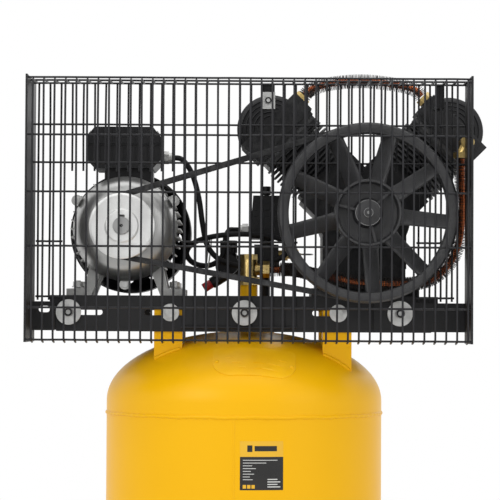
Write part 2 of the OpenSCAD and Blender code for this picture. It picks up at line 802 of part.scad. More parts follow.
module flywheel() {
    bottom_half = groove_half - groove_deep * groove_slope;
    color(cast_grey) at_tank() difference() {
        union() {
            y_lathe(crank_x, crank_z, [
                [rim_in, belt_y - 14], [fly_r - 3, belt_y - 16], [fly_r, belt_y - 14],
                [fly_r, belt_y - groove_half], [fly_r - groove_deep, belt_y - bottom_half],
                [fly_r - groove_deep, belt_y + bottom_half], [fly_r, belt_y + groove_half],
                [fly_r, belt_y + 14], [fly_r - 3, belt_y + 16], [rim_in, belt_y + 14]]);
            y_lathe(crank_x, crank_z, [
                [crank_r - 3.5, belt_y - 12], [17, belt_y - 13], [18, belt_y + 1], [hub_r - 5, belt_y + 1],
                [hub_r - 4, belt_y - 16], [hub_r, belt_y - 16], [hub_r, belt_y + 12],
                [hub_r - 5, belt_y + 12], [hub_r - 5, belt_y + 7], [24, belt_y + 7],
                [24, belt_y + 20], [crank_r - 3.5, belt_y + 20]]);
            for (k = [0 : blade_count - 1])
                translate([crank_x, belt_y, crank_z]) rotate([0, -(34 + 40 * k), 0]) rotate([38, 0, 0])
                    block([hub_r - 3, -14, -2.5], [rim_in + 3, 14, 2.5]);
            for (a = [45, 165, 285]) translate([crank_x, belt_y, crank_z]) rotate([0, -a, 0])
                block([16, -9, -2], [hub_r - 3, 3, 2]);
        }
        y_rod(crank_x, crank_z, crank_r - 3.5, belt_y - 14, belt_y + 22);
    }
}

module crankshaft() {
    color(bright_steel) at_tank() {
        y_rod(crank_x, crank_z, crank_r - 3.5, belt_y - 13, belt_y + 20);
        y_rod(crank_x, crank_z, 18, belt_y - 16, belt_y - 13.1);
        y_rod(crank_x, crank_z, 6.5, belt_y - 20, belt_y - 15.9);
        y_rod(crank_x, crank_z, 6, belt_y - 14, belt_y - 12);
        y_rod(crank_x, crank_z, crank_r, belt_y + 20, -44);
        difference() {
            y_rod(crank_x, crank_z, 46, -44, -36);
            translate([crank_x, -40, crank_z]) rotate([0, 20, 0]) block([18, -6, -50], [50, 6, 50]);
            translate([crank_x, -40, crank_z]) rotate([0, 20, 0]) block([-50, -6, 22], [50, 6, 50]);
        }
    }
}

// ---------- pump ----------

case_y0 = -66;
case_y1 = 44;
side_y = [-22, 2];
vee_sides = [-1, 1];

// Turns a shape drawn along +Z from the crank axis into the left or right cylinder's direction
module along_cylinder(i) {
    translate([crank_x, side_y[i], crank_z]) rotate([0, vee_sides[i] * vee_half, 0]) children();
}

module crankcase() {
    color(cast_grey) at_tank() difference() {
        union() {
            y_rod(crank_x, crank_z, 66, case_y0, case_y1);
            for (a = [-vee_half, vee_half]) translate([crank_x, 0, crank_z]) rotate([0, a, 0])
                block([-50, case_y0 + 2, 0], [50, case_y1 - 2, 80]);
            block([crank_x - 60, case_y0, deck_z + 3], [crank_x + 60, case_y1, crank_z]);
            block([crank_x - 76, case_y0 - 4, deck_z], [crank_x + 76, case_y1 + 6, deck_z + 12]);
        }
        y_rod(crank_x, crank_z, 58, case_y0 + 8, case_y1 + 1);
        y_rod(crank_x, crank_z, 36.1, case_y0 - 9, case_y1);
        block([crank_x - 52, case_y0 + 8, deck_z + 8], [crank_x + 52, case_y1 - 8, crank_z - 20]);
        for (i = [0, 1]) along_cylinder(i) cylinder(r = bore_d / 2 + 4, h = 90);
        for (x = pump_foot_x, y = [pump_foot_y[0], pump_foot_y[1]])
            z_rod(x, y, 4.5, deck_z - 1, deck_z + 20);
        for (x = pump_foot_x, y = pump_foot_y) z_rod(x, y, 9, deck_z + 12, deck_z + 40);
    }
}

module crankcase_covers() {
    bolt_circle = 62;
    color(cast_grey) at_tank() {
        difference() {
            union() {
                y_rod(crank_x, crank_z, 48, case_y0 - 12, case_y0);
                y_rod(crank_x, crank_z, 30, case_y0 - 16, case_y0 - 12);
            }
            y_rod(crank_x, crank_z, 36.1, case_y0 - 9, case_y0 + 1);
            y_rod(crank_x, crank_z, crank_r + 1, case_y0 - 17, case_y0);
        }
        difference() {
            union() {
                y_rod(crank_x, crank_z, 66, case_y1, case_y1 + 8);
                y_rod(crank_x, crank_z, 40, case_y1 + 8, case_y1 + 14);
                y_rod(crank_x, crank_z - 46, 9, case_y1 + 8, case_y1 + 13);
                y_rod(crank_x + 30, crank_z + 28, 7, case_y1 + 8, case_y1 + 22);
            }
            y_rod(crank_x, crank_z, 36.1, case_y1 - 8, case_y1 + 11.1);
        }
        for (k = [0 : 5]) y_hex(crank_x + bolt_circle * cos(60 * k + 30),
            crank_z + bolt_circle * sin(60 * k + 30), 10, case_y1 + 8, case_y1 + 13);
    }
}

cyl_foot = 80;
cyl_top = 150;
plate_top = 156;
head_top_u = 196;

// Angle of the crankpin above +X at rest, and where it stands
pin_angle = 90;
pin_x = crank_x + crank_throw * cos(pin_angle);
pin_z = crank_z + crank_throw * sin(pin_angle);
rod_len = 92;

// Distance of the piston pin from the crank axis along cylinder i
function pin_reach(i) =
    let(a = vee_sides[i] * vee_half, px = crank_throw * sin(a), pu = crank_throw * cos(a))
    pu + sqrt(rod_len * rod_len - px * px);

module connecting_rods() {
    color(aluminium) at_tank() {
        y_rod(pin_x, pin_z, 9, -35.5, 14);
        for (i = [0, 1]) {
            end_x = crank_x + vee_sides[i] * pin_reach(i) * sin(vee_half);
            end_z = crank_z + pin_reach(i) * cos(vee_half);
            tilt = atan2(end_z - pin_z, end_x - pin_x);
            difference() {
                union() {
                    y_rod(pin_x, pin_z, 15, side_y[i] - 9, side_y[i] + 9);
                    y_rod(end_x, end_z, 10, side_y[i] - 9, side_y[i] + 9);
                    translate([pin_x, side_y[i], pin_z]) rotate([0, -tilt, 0])
                        block([12, -4, -6], [rod_len - 8, 4, 6]);
                }
                y_rod(pin_x, pin_z, 9.04, side_y[i] - 10, side_y[i] + 10);
                y_rod(end_x, end_z, 6.04, side_y[i] - 10, side_y[i] + 10);
            }
        }
    }
}

module pistons() {
    color(aluminium) at_tank() for (i = [0, 1]) {
        reach = pin_reach(i);
        along_cylinder(i) {
            difference() {
                translate([0, 0, reach - 16]) cylinder(r = bore_d / 2 - 0.1, h = 34);
                translate([0, 0, reach - 17]) cylinder(r = bore_d / 2 - 5, h = 29);
            }
            y_pin = bore_d / 2 - 5;
            translate([0, y_pin + 1, reach]) rotate([90, 0, 0]) cylinder(r = 6, h = 2 * y_pin + 2);
        }
    }
}

module cylinders() {
    pitch = (cyl_top - cyl_foot - 14) / fin_count;
    color(cast_grey) at_tank() for (i = [0, 1]) along_cylinder(i) difference() {
        union() {
            block([-46, -42, cyl_foot], [46, 42, cyl_foot + 8]);
            translate([0, 0, cyl_foot]) cylinder(r = bore_d / 2 + 7, h = cyl_top - cyl_foot);
            for (k = [0 : fin_count - 1])
                translate([0, 0, cyl_foot + 11 + k * pitch]) cylinder(r = 53, h = 2.6);
            block([-48, -48, cyl_top - 6], [48, 48, cyl_top]);
        }
        translate([0, 0, cyl_foot - 1]) cylinder(r = bore_d / 2, h = cyl_top - cyl_foot + 2);
    }
}

module valve_plates() {
    color(bright_steel) at_tank() for (i = [0, 1]) along_cylinder(i) difference() {
        block([-48, -48, cyl_top], [48, 48, plate_top]);
        for (s = [-1, 1]) translate([s * 18, 0, cyl_top - 1]) cylinder(r = 6, h = 8);
    }
}

// Height along the cylinder and place along Y of the port that the intercooler screws into
port_u = 186;
cooler_y = -10;

module cylinder_heads() {
    color(cast_grey) at_tank() for (i = [0, 1]) along_cylinder(i) {
        difference() {
            union() {
                block([-50, -50, plate_top], [50, 50, head_top_u - 12]);
                for (k = [0 : 6]) block([-54, -51 + 16 * k, plate_top + 6], [54, -47 + 16 * k, head_top_u]);
                if (i == 1) translate([30, -62, plate_top + 22]) rotate([-90, 0, 0]) cylinder(r = 12, h = 20);
                translate([-vee_sides[i] * 48, cooler_y - side_y[i], port_u])
                    rotate([0, -vee_sides[i] * 90, 0]) cylinder(r = 11, h = 8);
                translate([0, 48, head_top_u - 8]) rotate([-90, 0, 0]) cylinder(r = 15, h = 14);
            }
            for (s = [-1, 1]) block([s * 24 - 20, -40, plate_top - 1], [s * 24 + 20, 40, plate_top + 18]);
        }
        for (x = [-42, 42], y = [-42, 42])
            translate([x, y, head_top_u - 13]) cylinder(r = 7.5, h = 9, $fn = 6);
    }
}

module air_filters() {
    color(black_paint) at_tank() for (i = [0, 1]) {
        back = side_y[i] + 62;
        along_cylinder(i) translate([0, -side_y[i], head_top_u - 8]) rotate([-90, 0, 0]) {
            rotate_extrude($fn = 96) polygon([
                [0, back], [46, back], [51, back + 4], [51, back + 16], [48, back + 17], [48, back + 20],
                [51, back + 21], [51, back + 40], [44, back + 46], [32, back + 46], [30, back + 43],
                [14, back + 43], [12, back + 47], [0, back + 47]]);
        }
    }
}

// ---------- pipes and leads ----------

function unit(v) = v / norm(v);

// A point between p[i] and p[i + 1] on the smooth curve through all the points
function curve_point(p, i, u) =
    let(a = p[max(i - 1, 0)], b = p[i], c = p[i + 1], d = p[min(i + 2, len(p) - 1)])
    0.5 * (2 * b + (c - a) * u + (2 * a - 5 * b + 4 * c - d) * u * u
        + (3 * b - a - 3 * c + d) * u * u * u);

function smooth_path(p, steps) = concat(
    [for (i = [0 : len(p) - 2]) for (j = [0 : steps - 1]) curve_point(p, i, j / steps)],
    [p[len(p) - 1]]);

function directions(p) =
    [for (i = [0 : len(p) - 1]) unit(p[min(i + 1, len(p) - 1)] - p[max(i - 1, 0)])];

// Carries a sideways direction along the path without twisting it
function carried(dirs, side, i = 0, done = []) =
    i == len(dirs) ? done
    : let(next = unit(side - (side * dirs[i]) * dirs[i]))
        carried(dirs, next, i + 1, concat(done, [next]));

// A round tube along a path
module tube(path, r, sides, side) {
    dirs = directions(path);
    across = carried(dirs, side);
    n = len(path);
    pts = [for (i = [0 : n - 1]) for (k = [0 : sides - 1])
        let(a = 360 * k / sides, up = cross(dirs[i], across[i]))
        path[i] + r * (cos(a) * across[i] + sin(a) * up)];
    walls = [for (i = [0 : n - 2]) for (k = [0 : sides - 1])
        let(m = (k + 1) % sides)
        [sides * i + k, sides * (i + 1) + k, sides * (i + 1) + m, sides * i + m]];
    first = [for (k = [0 : sides - 1]) k];
    last = [for (k = [0 : sides - 1]) sides * n - 1 - k];
    polyhedron(pts, concat([first], walls, [last]));
}

fin_r = 10.5;

// Copper tube that arches over the flywheel from one head to the other
cooler_points = [[86.2, -10, 1293.7], [95.6, -10, 1303], [124, -10, 1311.5], [168, -10, 1315.5],
    [205, -10, 1312.5], [230, -10, 1308.5], [247.4, -10, 1303], [256.8, -10, 1293.7]];

// Copper tube from the right head, down in front of the crankcase and across to the check valve
delivery_points = [[308, -88, 1197], [308, -88, 1170], [309, -88, 1135], [308, -88, 1100], [303, -88, 1073],
    [292, -88, 1049], [273, -88, 1030], [248, -89, 1020], [212, -90, 1018], [165, -90, 1020],
    [130, -88, 1026], [100, -76, 1031], [84, -46, 1036], [70, -12, 1039.5], [58, -1, 1040], [47, 0, 1040], [37, 0, 1040]];

module intercooler() {
    color(copper) at_tank() tube(smooth_path(cooler_points, 4), fin_r, 12, [0, 1, 0]);
}

module discharge_tube() {
    color(copper) at_tank() tube(smooth_path(delivery_points, 4), fin_r, 12, [0, 1, 0]);
}

// Check valve on the outlet stub, and the elbows and nuts at both ends of each copper tube
module tube_fittings() {
    color(brass) at_tank() {
        z_hex(stub_x, 0, 27, deck_z + 17, deck_z + 29);
        z_rod(stub_x, 0, 12.5, deck_z + 29, deck_z + 54);
        z_hex(stub_x, 0, 22, deck_z + 54, deck_z + 62);
        x_rod(0, 1040, 9, stub_x + 6, stub_x + 20);
        translate([stub_x + 18, 0, 1040]) rotate([0, 90, 0]) cylinder(r = 12.5, h = 12, $fn = 6);
        y_rod(316, 1220.6, 9.6, -97, -60);
        translate([316, -88, 1220.6]) rotate([0, 25, 0]) translate([0, 0, -22]) cylinder(r = 7.4, h = 22);
        z_hex(307.5, -88, 20, 1198, 1206);
        for (i = [0, 1]) along_cylinder(i)
            translate([-vee_sides[i] * 56.1, cooler_y - side_y[i], port_u]) rotate([0, -vee_sides[i] * 90, 0])
                cylinder(r = 11.5, h = 8, $fn = 6);
    }
}

manifold_low = 1036;
manifold_top = 1078;
switch_low = 1086;
switch_top = 1150;

module pressure_switch() {
    color(black_paint) at_tank() {
        difference() {
            union() {
                translate([switch_x - 24, switch_y + 28, switch_low]) rotate([90, 0, 0])
                    linear_extrude(height = 56)
                        polygon([[0, 0], [48, 0], [48, 8], [44, 64], [4, 64], [0, 8]]);
                z_rod(switch_x, switch_y, 9, manifold_top, switch_low);
            }
            z_rod(switch_x, switch_y, 3.6, switch_top - 20, switch_top + 1);
            x_rod(switch_y, 1100, 6, 5, 20);
        }
    }
}

module switch_knob() {
    color(signal_red) at_tank() {
        z_rod(switch_x, switch_y, 3.5, switch_top - 12, switch_top + 2);
        z_rod(switch_x, switch_y, 6.5, switch_top + 2, switch_top + 15);
    }
}

reg_x = -24;
reg_z = 1048;

// Riser nipple, manifold block and pressure regulator
module regulator() {
    color(black_paint) at_tank() difference() {
        union() {
            z_rod(riser_x, riser_y, 8, tank_top + 4, manifold_low);
            block([switch_x - 18, switch_y - 17, manifold_low], [switch_x + 18, switch_y + 17, manifold_top]);
            x_rod(switch_y, reg_z, 8, reg_x, switch_x - 18);
            y_rod(reg_x, reg_z, 15, switch_y - 15, switch_y + 15);
            z_rod(reg_x, switch_y, 12, reg_z, reg_z + 17);
        }
        z_rod(reg_x, switch_y, 3.6, reg_z + 6, reg_z + 18);
    }
}

module regulator_knob() {
    color(black_paint) at_tank() difference() {
        union() {
            z_rod(reg_x, switch_y, 3.5, reg_z + 8, reg_z + 18);
            z_rod(reg_x, switch_y, 13, reg_z + 17.5, reg_z + 36);
        }
        for (k = [0 : 11]) rotate_about(reg_x, switch_y, 30 * k)
            z_rod(reg_x + 14, switch_y, 2, reg_z + 16, reg_z + 40);
    }
}

// Turns a shape about a Z axis through x, y
module rotate_about(x, y, a) {
    translate([x, y, 0]) rotate([0, 0, a]) translate([-x, -y, 0]) children();
}

gauge_r = 20;
gauge_places = [[switch_x, switch_y + 17, 1056], [reg_x, switch_y + 15, reg_z]];
dial_y = 19;

// A round dial gauge with its stem, facing +Y
module gauge_at(p) {
    color(bright_steel) y_rod(p.x, p.z, 6, p.y, p.y + 8);
    color(black_paint) difference() {
        y_rod(p.x, p.z, gauge_r, p.y + 8, p.y + 24);
        y_rod(p.x, p.z, gauge_r - 2, p.y + 13, p.y + 25);
    }
    color(dial_white) difference() {
        y_rod(p.x, p.z, gauge_r - 2, p.y + 13, p.y + 14.5);
        y_rod(p.x, p.z, 1.3, p.y + 12, p.y + 15);
    }
}

module gauges() {
    at_tank() for (p = gauge_places) gauge_at(p);
}

// A gauge needle that rests at the lower left of the dial
module needle_at(p) {
    color(signal_red) translate([p.x, p.y, p.z]) {
        y_rod(0, 0, 1.2, 13.2, dial_y);
        y_rod(0, 0, 2.4, 16, 17.4);
        rotate([0, 45, 0]) block([-2, 16, -0.6], [13.5, 17, 0.6]);
    }
}

module tank_needle() {
    at_tank() needle_at(gauge_places[0]);
}

module line_needle() {
    at_tank() needle_at(gauge_places[1]);
}

valve_x = switch_x + 18;
valve_z = 1064;

module safety_valve() {
    color(brass) at_tank() difference() {
        union() {
            x_rod(switch_y, valve_z, 6, valve_x, valve_x + 8);
            translate([valve_x + 6, switch_y, valve_z]) rotate([0, 90, 0]) cylinder(r = 9.5, h = 8, $fn = 6);
            x_rod(switch_y, valve_z, 7, valve_x + 14, valve_x + 30);
        }
        x_rod(switch_y, valve_z, 2.06, valve_x + 10, valve_x + 31);
    }
}

module safety_ring() {
    color(bright_steel) at_tank() {
        x_rod(switch_y, valve_z, 2, valve_x + 16, valve_x + 34);
        translate([valve_x + 42, switch_y, valve_z]) rotate_extrude() translate([9, 0]) circle(r = 1.2);
    }
}

cock_slope = 32;
cock_start = [reg_x + 4, cock_y, 1038];
cock_along = 18;
cock_len = 34;
nipple_len = 14;
cock_turn = [cock_start.x - cock_along * cos(cock_slope), switch_y + 18,
    cock_start.z - cock_along * sin(cock_slope)];

module outlet_cock() {
    color(black_paint) at_tank() difference() {
        union() {
            translate(cock_start) rotate([0, -90 - cock_slope, 0]) {
                cylinder(r = 8.5, h = cock_len);
                translate([0, 0, cock_len - eps]) cylinder(r = 6.6, h = nipple_len);
            }
            y_rod(cock_turn.x, cock_turn.z, 7, cock_y, cock_turn.y - 2);
        }
        y_rod(cock_turn.x, cock_turn.z, 3.06, cock_y - 4, cock_turn.y);
        translate([reg_x, switch_y + 16, reg_z]) rotate([90, 0, 0]) cylinder(r = 15, h = 32);
    }
}

module cock_lever() {
    color(signal_red) at_tank() translate([cock_turn.x, 0, cock_turn.z]) {
        y_rod(0, 0, 3, cock_y - 2, cock_turn.y);
        y_rod(0, 0, 6, cock_turn.y - 1.6, cock_turn.y + 2);
        rotate([0, -cock_slope, 0]) block([-30, cock_turn.y - 1, -3.5], [-3, cock_turn.y + 1.4, 3.5]);
    }
}

// Lead from the motor's gland, once round in a slack loop, to the pressure switch
lead_points = [[-105, 5, 1203], [-92, 5, 1200], [-78, 8, 1180], [-68, 10, 1145], [-62, 12, 1105],
    [-55, 14, 1075], [-38, 17, 1055], [-12, 24, 1046], [20, 27, 1046], [50, 27, 1056], [66, 26, 1072],
    [52, 24, 1085], [24, 22, 1091], [-15, 22, 1092], [-50, 26, 1088], [-76, 30, 1079], [-86, 36, 1064],
    [-76, 40, 1050], [-54, 38, 1046], [-36, 36, 1056], [-30, 36, 1074], [-28, 39, 1090], [-23, 50, 1099],
    [-16, 60, 1100], [-9, 62, 1100]];
lead_r = 4;

module motor_cable() {
    color(rubber) at_tank() tube(smooth_path(lead_points, 3), lead_r, 8, [0, 1, 0]);
}

tank_shell();
tank_brackets();
rating_plate();
tank_label();
stand_legs();
rubber_feet();
wheel_forks();
wheel_left();
wheel_right();
push_handle();
handle_grips();
drain_cock();
drain_handle();
platform();
mounting_bolts();
guard_front_mesh();
guard_top_mesh();
guard_rear_top();
guard_rear_lower();
guard_side_strips();
guard_brackets();
motor_stator();
motor_windings();
motor_front_bell();
motor_rear_bell();
motor_fan_cover();
motor_fan();
motor_shaft();
bearings();
terminal_box();
terminal_box_lid();
cable_glands();
motor_bolts();
motor_pulley();
v_belt();
crankcase();
crankcase_covers();
crankshaft();
flywheel();
connecting_rods();
pistons();
cylinders();
valve_plates();
cylinder_heads();
air_filters();
intercooler();
discharge_tube();
tube_fittings();
pressure_switch();
switch_knob();
regulator();
regulator_knob();
gauges();
tank_needle();
line_needle();
safety_valve();
safety_ring();
outlet_cock();
cock_lever();
motor_cable();
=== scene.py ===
"""Looks of the vertical tank compressor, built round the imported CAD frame. Metres, +Z up."""
import json
import math
import random

import bmesh
import bpy
from mathutils import Matrix, Vector

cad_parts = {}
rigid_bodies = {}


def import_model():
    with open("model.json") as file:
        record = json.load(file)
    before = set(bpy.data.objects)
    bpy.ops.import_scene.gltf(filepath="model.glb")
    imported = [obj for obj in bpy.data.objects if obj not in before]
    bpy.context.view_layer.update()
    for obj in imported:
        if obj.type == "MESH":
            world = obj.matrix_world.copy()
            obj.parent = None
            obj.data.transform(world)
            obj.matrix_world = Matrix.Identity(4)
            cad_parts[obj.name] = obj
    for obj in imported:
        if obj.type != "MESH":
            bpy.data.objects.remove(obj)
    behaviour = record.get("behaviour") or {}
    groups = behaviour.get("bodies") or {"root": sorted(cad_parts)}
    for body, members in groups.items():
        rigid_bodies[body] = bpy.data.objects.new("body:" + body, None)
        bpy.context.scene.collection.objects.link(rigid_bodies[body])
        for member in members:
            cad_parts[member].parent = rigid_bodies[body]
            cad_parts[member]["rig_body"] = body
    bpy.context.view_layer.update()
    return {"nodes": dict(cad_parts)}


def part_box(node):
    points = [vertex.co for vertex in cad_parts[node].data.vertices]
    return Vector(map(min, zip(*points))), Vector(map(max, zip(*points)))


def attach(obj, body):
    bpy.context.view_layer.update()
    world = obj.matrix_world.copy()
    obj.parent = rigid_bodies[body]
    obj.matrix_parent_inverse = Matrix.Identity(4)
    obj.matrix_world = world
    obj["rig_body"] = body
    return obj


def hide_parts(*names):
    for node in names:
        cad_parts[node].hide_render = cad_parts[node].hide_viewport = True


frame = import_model()
MM = 0.001
SEED = 7

# ---------- places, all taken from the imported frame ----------


def middle(node):
    """Middle of a CAD node's box."""
    low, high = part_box(node)
    return (low + high) / 2


def span(node, axis):
    """Lowest and highest value of a CAD node along an axis, 0 to 2."""
    low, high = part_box(node)
    return low[axis], high[axis]


AXIS = middle("tank_shell")
TX, TY = AXIS.x, AXIS.y
# The CAD weld beads stand out this far past the shell.
SEAM_OUT = 0.002
TANK_R = (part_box("tank_shell")[1].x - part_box("tank_shell")[0].x) / 2 - SEAM_OUT
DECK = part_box("platform")[1].z
PULLEY = middle("motor_pulley")
PULLEY_R = (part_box("motor_pulley")[1].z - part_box("motor_pulley")[0].z) / 2
# The flywheel's rim reaches further forward than its hub; FLY lies in the rim's middle plane.
RIM_HALF = 0.016
FLY = middle("flywheel")
FLY.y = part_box("flywheel")[0].y + RIM_HALF
FLY_R = (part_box("flywheel")[1].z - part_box("flywheel")[0].z) / 2


def at(x, y, z):
    """A point given in millimetres from the tank axis and the floor."""
    return Vector((TX + x * MM, TY + y * MM, z * MM))


# ---------- camera, light and stage ----------

CAMERA_BACK = 3.3
CAMERA_HEIGHT = 0.966
LENS = 162.6
TILT_UP = 1.775
TURN = 0.14
ROLL = -0.3
SENSOR = 36
LOOK_AT_Z = 0.95


def make_camera():
    """A long lens far in front of the guard, aimed a little upwards."""
    data = bpy.data.cameras.new("camera")
    data.lens = LENS
    data.sensor_width = SENSOR
    data.clip_start = 0.1
    data.clip_end = 50
    cam = bpy.data.objects.new("camera", data)
    cam.location = (TX, TY - CAMERA_BACK, CAMERA_HEIGHT)
    cam.rotation_euler = [math.radians(a) for a in (90 + TILT_UP, ROLL, -TURN)]
    bpy.context.scene.collection.objects.link(cam)
    bpy.context.scene.camera = cam


def area_light(name, place, target, size, power):
    """A rectangular lamp facing a target."""
    data = bpy.data.lights.new(name, "AREA")
    data.shape = "RECTANGLE"
    data.size, data.size_y = size
    data.energy = power
    lamp = bpy.data.objects.new(name, data)
    lamp.location = place
    lamp.rotation_euler = (Vector(target) - Vector(place)).to_track_quat("-Z", "Y").to_euler()
    bpy.context.scene.collection.objects.link(lamp)


def make_lights():
    """Three soft lamps in front and above, one behind, and a white surround."""
    target = (TX, TY, LOOK_AT_Z)
    area_light("key_left", (-1.9, -2.4, 2.3), target, (1.6, 1.6), 24)
    area_light("fill_right", (2.1, -2.2, 1.7), target, (1.5, 1.8), 9)
    area_light("top_soft", (0, -0.4, 3.0), target, (2.4, 2.0), 16)
    area_light("rim_back", (0.8, 2.4, 2.2), target, (2.0, 1.2), 8)
    world = bpy.data.worlds.new("studio")
    world.use_nodes = True
    back = world.node_tree.nodes["Background"]
    back.inputs[0].default_value = (1, 1, 1, 1)
    back.inputs[1].default_value = 1.0
    bpy.context.scene.world = world
    bpy.context.scene.view_settings.view_transform = "Standard"


# ---------- mesh helpers ----------


def new_object(name, bm, material, body="root", stands_for=(), smooth=35):
    """Turns a bmesh into a piece with a material, riding on a CAD body."""
    bmesh.ops.recalc_face_normals(bm, faces=bm.faces)
    mesh = bpy.data.meshes.new(name)
    bm.to_mesh(mesh)
    bm.free()
    mesh.shade_smooth()
    mesh.set_sharp_from_angle(angle=math.radians(smooth))
    obj = bpy.data.objects.new(name, mesh)
    obj.data.materials.append(material)
    bpy.context.scene.collection.objects.link(obj)
    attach(obj, body)
    if stands_for:
        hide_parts(*stands_for)
    return obj


SHARP_ANGLE = 35


def add_bevel(obj, width, segments=2):
    """Rounds the sharp edges of a piece."""
    mod = obj.modifiers.new("edges", "BEVEL")
    mod.width = width
    mod.segments = segments
    mod.limit_method = "ANGLE"
    mod.angle_limit = math.radians(SHARP_ANGLE)
    mod.use_clamp_overlap = True
    mod.miter_outer = "MITER_ARC"
    mod.harden_normals = True
    return obj


def ring_of(centre, across, up, radius, sides):
    """Points of a circle round centre in the plane of across and up."""
    pts = []
    for k in range(sides):
        a = 2 * math.pi * k / sides
        pts.append(centre + across * (radius * math.cos(a)) + up * (radius * math.sin(a)))
    return pts


# A direction that no path here runs along.
ODD_WAY = Vector((0.31, 0.87, 0.39))


def frames_along(path):
    """Directions and untwisted sideways vectors along a path."""
    last = len(path) - 1
    ways = [(path[min(i + 1, last)] - path[max(i - 1, 0)]).normalized() for i in range(len(path))]
    side = ways[0].cross(ODD_WAY)
    side.normalize()
    sides = []
    for way in ways:
        side = (side - way * side.dot(way)).normalized()
        sides.append(side)
    return ways, sides


def add_tube(bm, path, radius, sides=12, capped=True):
    """A round tube along a path; radius is a number or one per point."""
    ways, across = frames_along(path)
    rings = []
    for i, p in enumerate(path):
        r = radius[i] if isinstance(radius, (list, tuple)) else radius
        up = ways[i].cross(across[i])
        rings.append([bm.verts.new(q) for q in ring_of(p, across[i], up, r, sides)])
    for low, high in zip(rings, rings[1:]):
        for k in range(sides):
            m = (k + 1) % sides
            bm.faces.new((low[k], low[m], high[m], high[k]))
    if capped:
        bm.faces.new(list(reversed(rings[0])))
        bm.faces.new(rings[-1])


def add_lathe(bm, centre, direction, profile, steps=96, closed=True):
    """Turns (radius, height) pairs about a line. A closed profile comes back to its first point."""
    way = Vector(direction).normalized()
    helper = Vector((0.21, 0.13, 0.97)) if abs(way.z) < 0.9 else Vector((1, 0, 0))
    across = way.cross(helper).normalized()
    up = way.cross(across)
    rows = []
    for r, h in profile:
        if r < 1e-7:
            rows.append([bm.verts.new(centre + way * h)] * steps)
        else:
            rows.append([bm.verts.new(q) for q in ring_of(centre + way * h, across, up, r, steps)])
    pairs = list(zip(rows, rows[1:]))
    if closed:
        pairs.append((rows[-1], rows[0]))
    for low, high in pairs:
        for k in range(steps):
            m = (k + 1) % steps
            corners = []
            for v in (low[k], low[m], high[m], high[k]):
                if v not in corners:
                    corners.append(v)
            if len(corners) > 2:
                bm.faces.new(corners)


def add_box(bm, low, high, turn=None):
    """A box between two corners, turned by a matrix when one is given."""
    low, high = Vector(low), Vector(high)
    verts = []
    for x in (low.x, high.x):
        for y in (low.y, high.y):
            for z in (low.z, high.z):
                p = Vector((x, y, z))
                verts.append(bm.verts.new(turn @ p if turn else p))
    for f in ((0, 1, 3, 2), (4, 6, 7, 5), (0, 4, 5, 1), (2, 3, 7, 6), (0, 2, 6, 4), (1, 5, 7, 3)):
        bm.faces.new([verts[i] for i in f])


def add_slab(bm, layers):
    """A thin slab from a lower and an upper layer, each of two rows of corners."""
    (a, b), (c, d) = layers
    last = len(a) - 1
    for k in range(last):
        bm.faces.new((c[k], c[k + 1], d[k + 1], d[k]))
        bm.faces.new((a[k], b[k], b[k + 1], a[k + 1]))
        bm.faces.new((a[k], a[k + 1], c[k + 1], c[k]))
        bm.faces.new((b[k], d[k], d[k + 1], b[k + 1]))
    bm.faces.new((a[0], c[0], d[0], b[0]))
    bm.faces.new((a[last], b[last], d[last], c[last]))


def curve_through(points, steps):
    """A smooth path through given points."""
    last = len(points) - 1
    path = []
    for i in range(last):
        a, b, c, d = points[max(i - 1, 0)], points[i], points[i + 1], points[min(i + 2, last)]
        for j in range(steps):
            u = j / steps
            path.append(0.5 * (2 * b + (c - a) * u + (2 * a - 5 * b + 4 * c - d) * u * u
                               + (3 * b - a - 3 * c + d) * u ** 3))
    path.append(points[last].copy())
    return path


MERGE_DIST = 2e-6
FLAT_ANGLE = 1.2


def soften(node, material, width):
    """Rounds the edges of a CAD node: a cleaned copy with real bevels stands for it."""
    bm = bmesh.new()
    bm.from_mesh(frame["nodes"][node].data)
    bmesh.ops.remove_doubles(bm, verts=bm.verts, dist=MERGE_DIST)
    bmesh.ops.dissolve_limit(bm, angle_limit=math.radians(FLAT_ANGLE), verts=bm.verts,
                             edges=bm.edges)
    body = frame["nodes"][node]["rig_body"]
    obj = new_object(node + "_shell", bm, material, body, (node,))
    if width > 0:
        add_bevel(obj, width)


# ---------- materials ----------


# Sockets of the colour mix node.
MIX_FACTOR, MIX_A, MIX_B, MIX_OUT = 0, 6, 7, 2


def node_tree(name):
    """A new material with its node tree and shader."""
    mat = bpy.data.materials.new(name)
    mat.use_nodes = True
    tree = mat.node_tree
    shader = tree.nodes["Principled BSDF"]
    return mat, tree, shader


def link(tree, a, out, b, into):
    """Joins an output of node a to an input of node b."""
    tree.links.new(a.outputs[out], b.inputs[into])


def noise(tree, coords, scale, detail=4.0, rough=0.55):
    """A noise texture in the piece's own coordinates."""
    node = tree.nodes.new("ShaderNodeTexNoise")
    node.inputs["Scale"].default_value = scale
    node.inputs["Detail"].default_value = detail
    node.inputs["Roughness"].default_value = rough
    link(tree, coords, "Object", node, "Vector")
    return node


def ramp(tree, source, out, low, high, dark, light):
    """A colour ramp between two places."""
    node = tree.nodes.new("ShaderNodeValToRGB")
    node.color_ramp.elements[0].position = low
    node.color_ramp.elements[1].position = high
    node.color_ramp.elements[0].color = dark
    node.color_ramp.elements[1].color = light
    link(tree, source, out, node, "Fac")
    return node


def spread(tree, source, out, low, high):
    """Maps 0..1 onto low..high."""
    node = tree.nodes.new("ShaderNodeMapRange")
    node.inputs["To Min"].default_value = low
    node.inputs["To Max"].default_value = high
    link(tree, source, out, node, "Value")
    return node


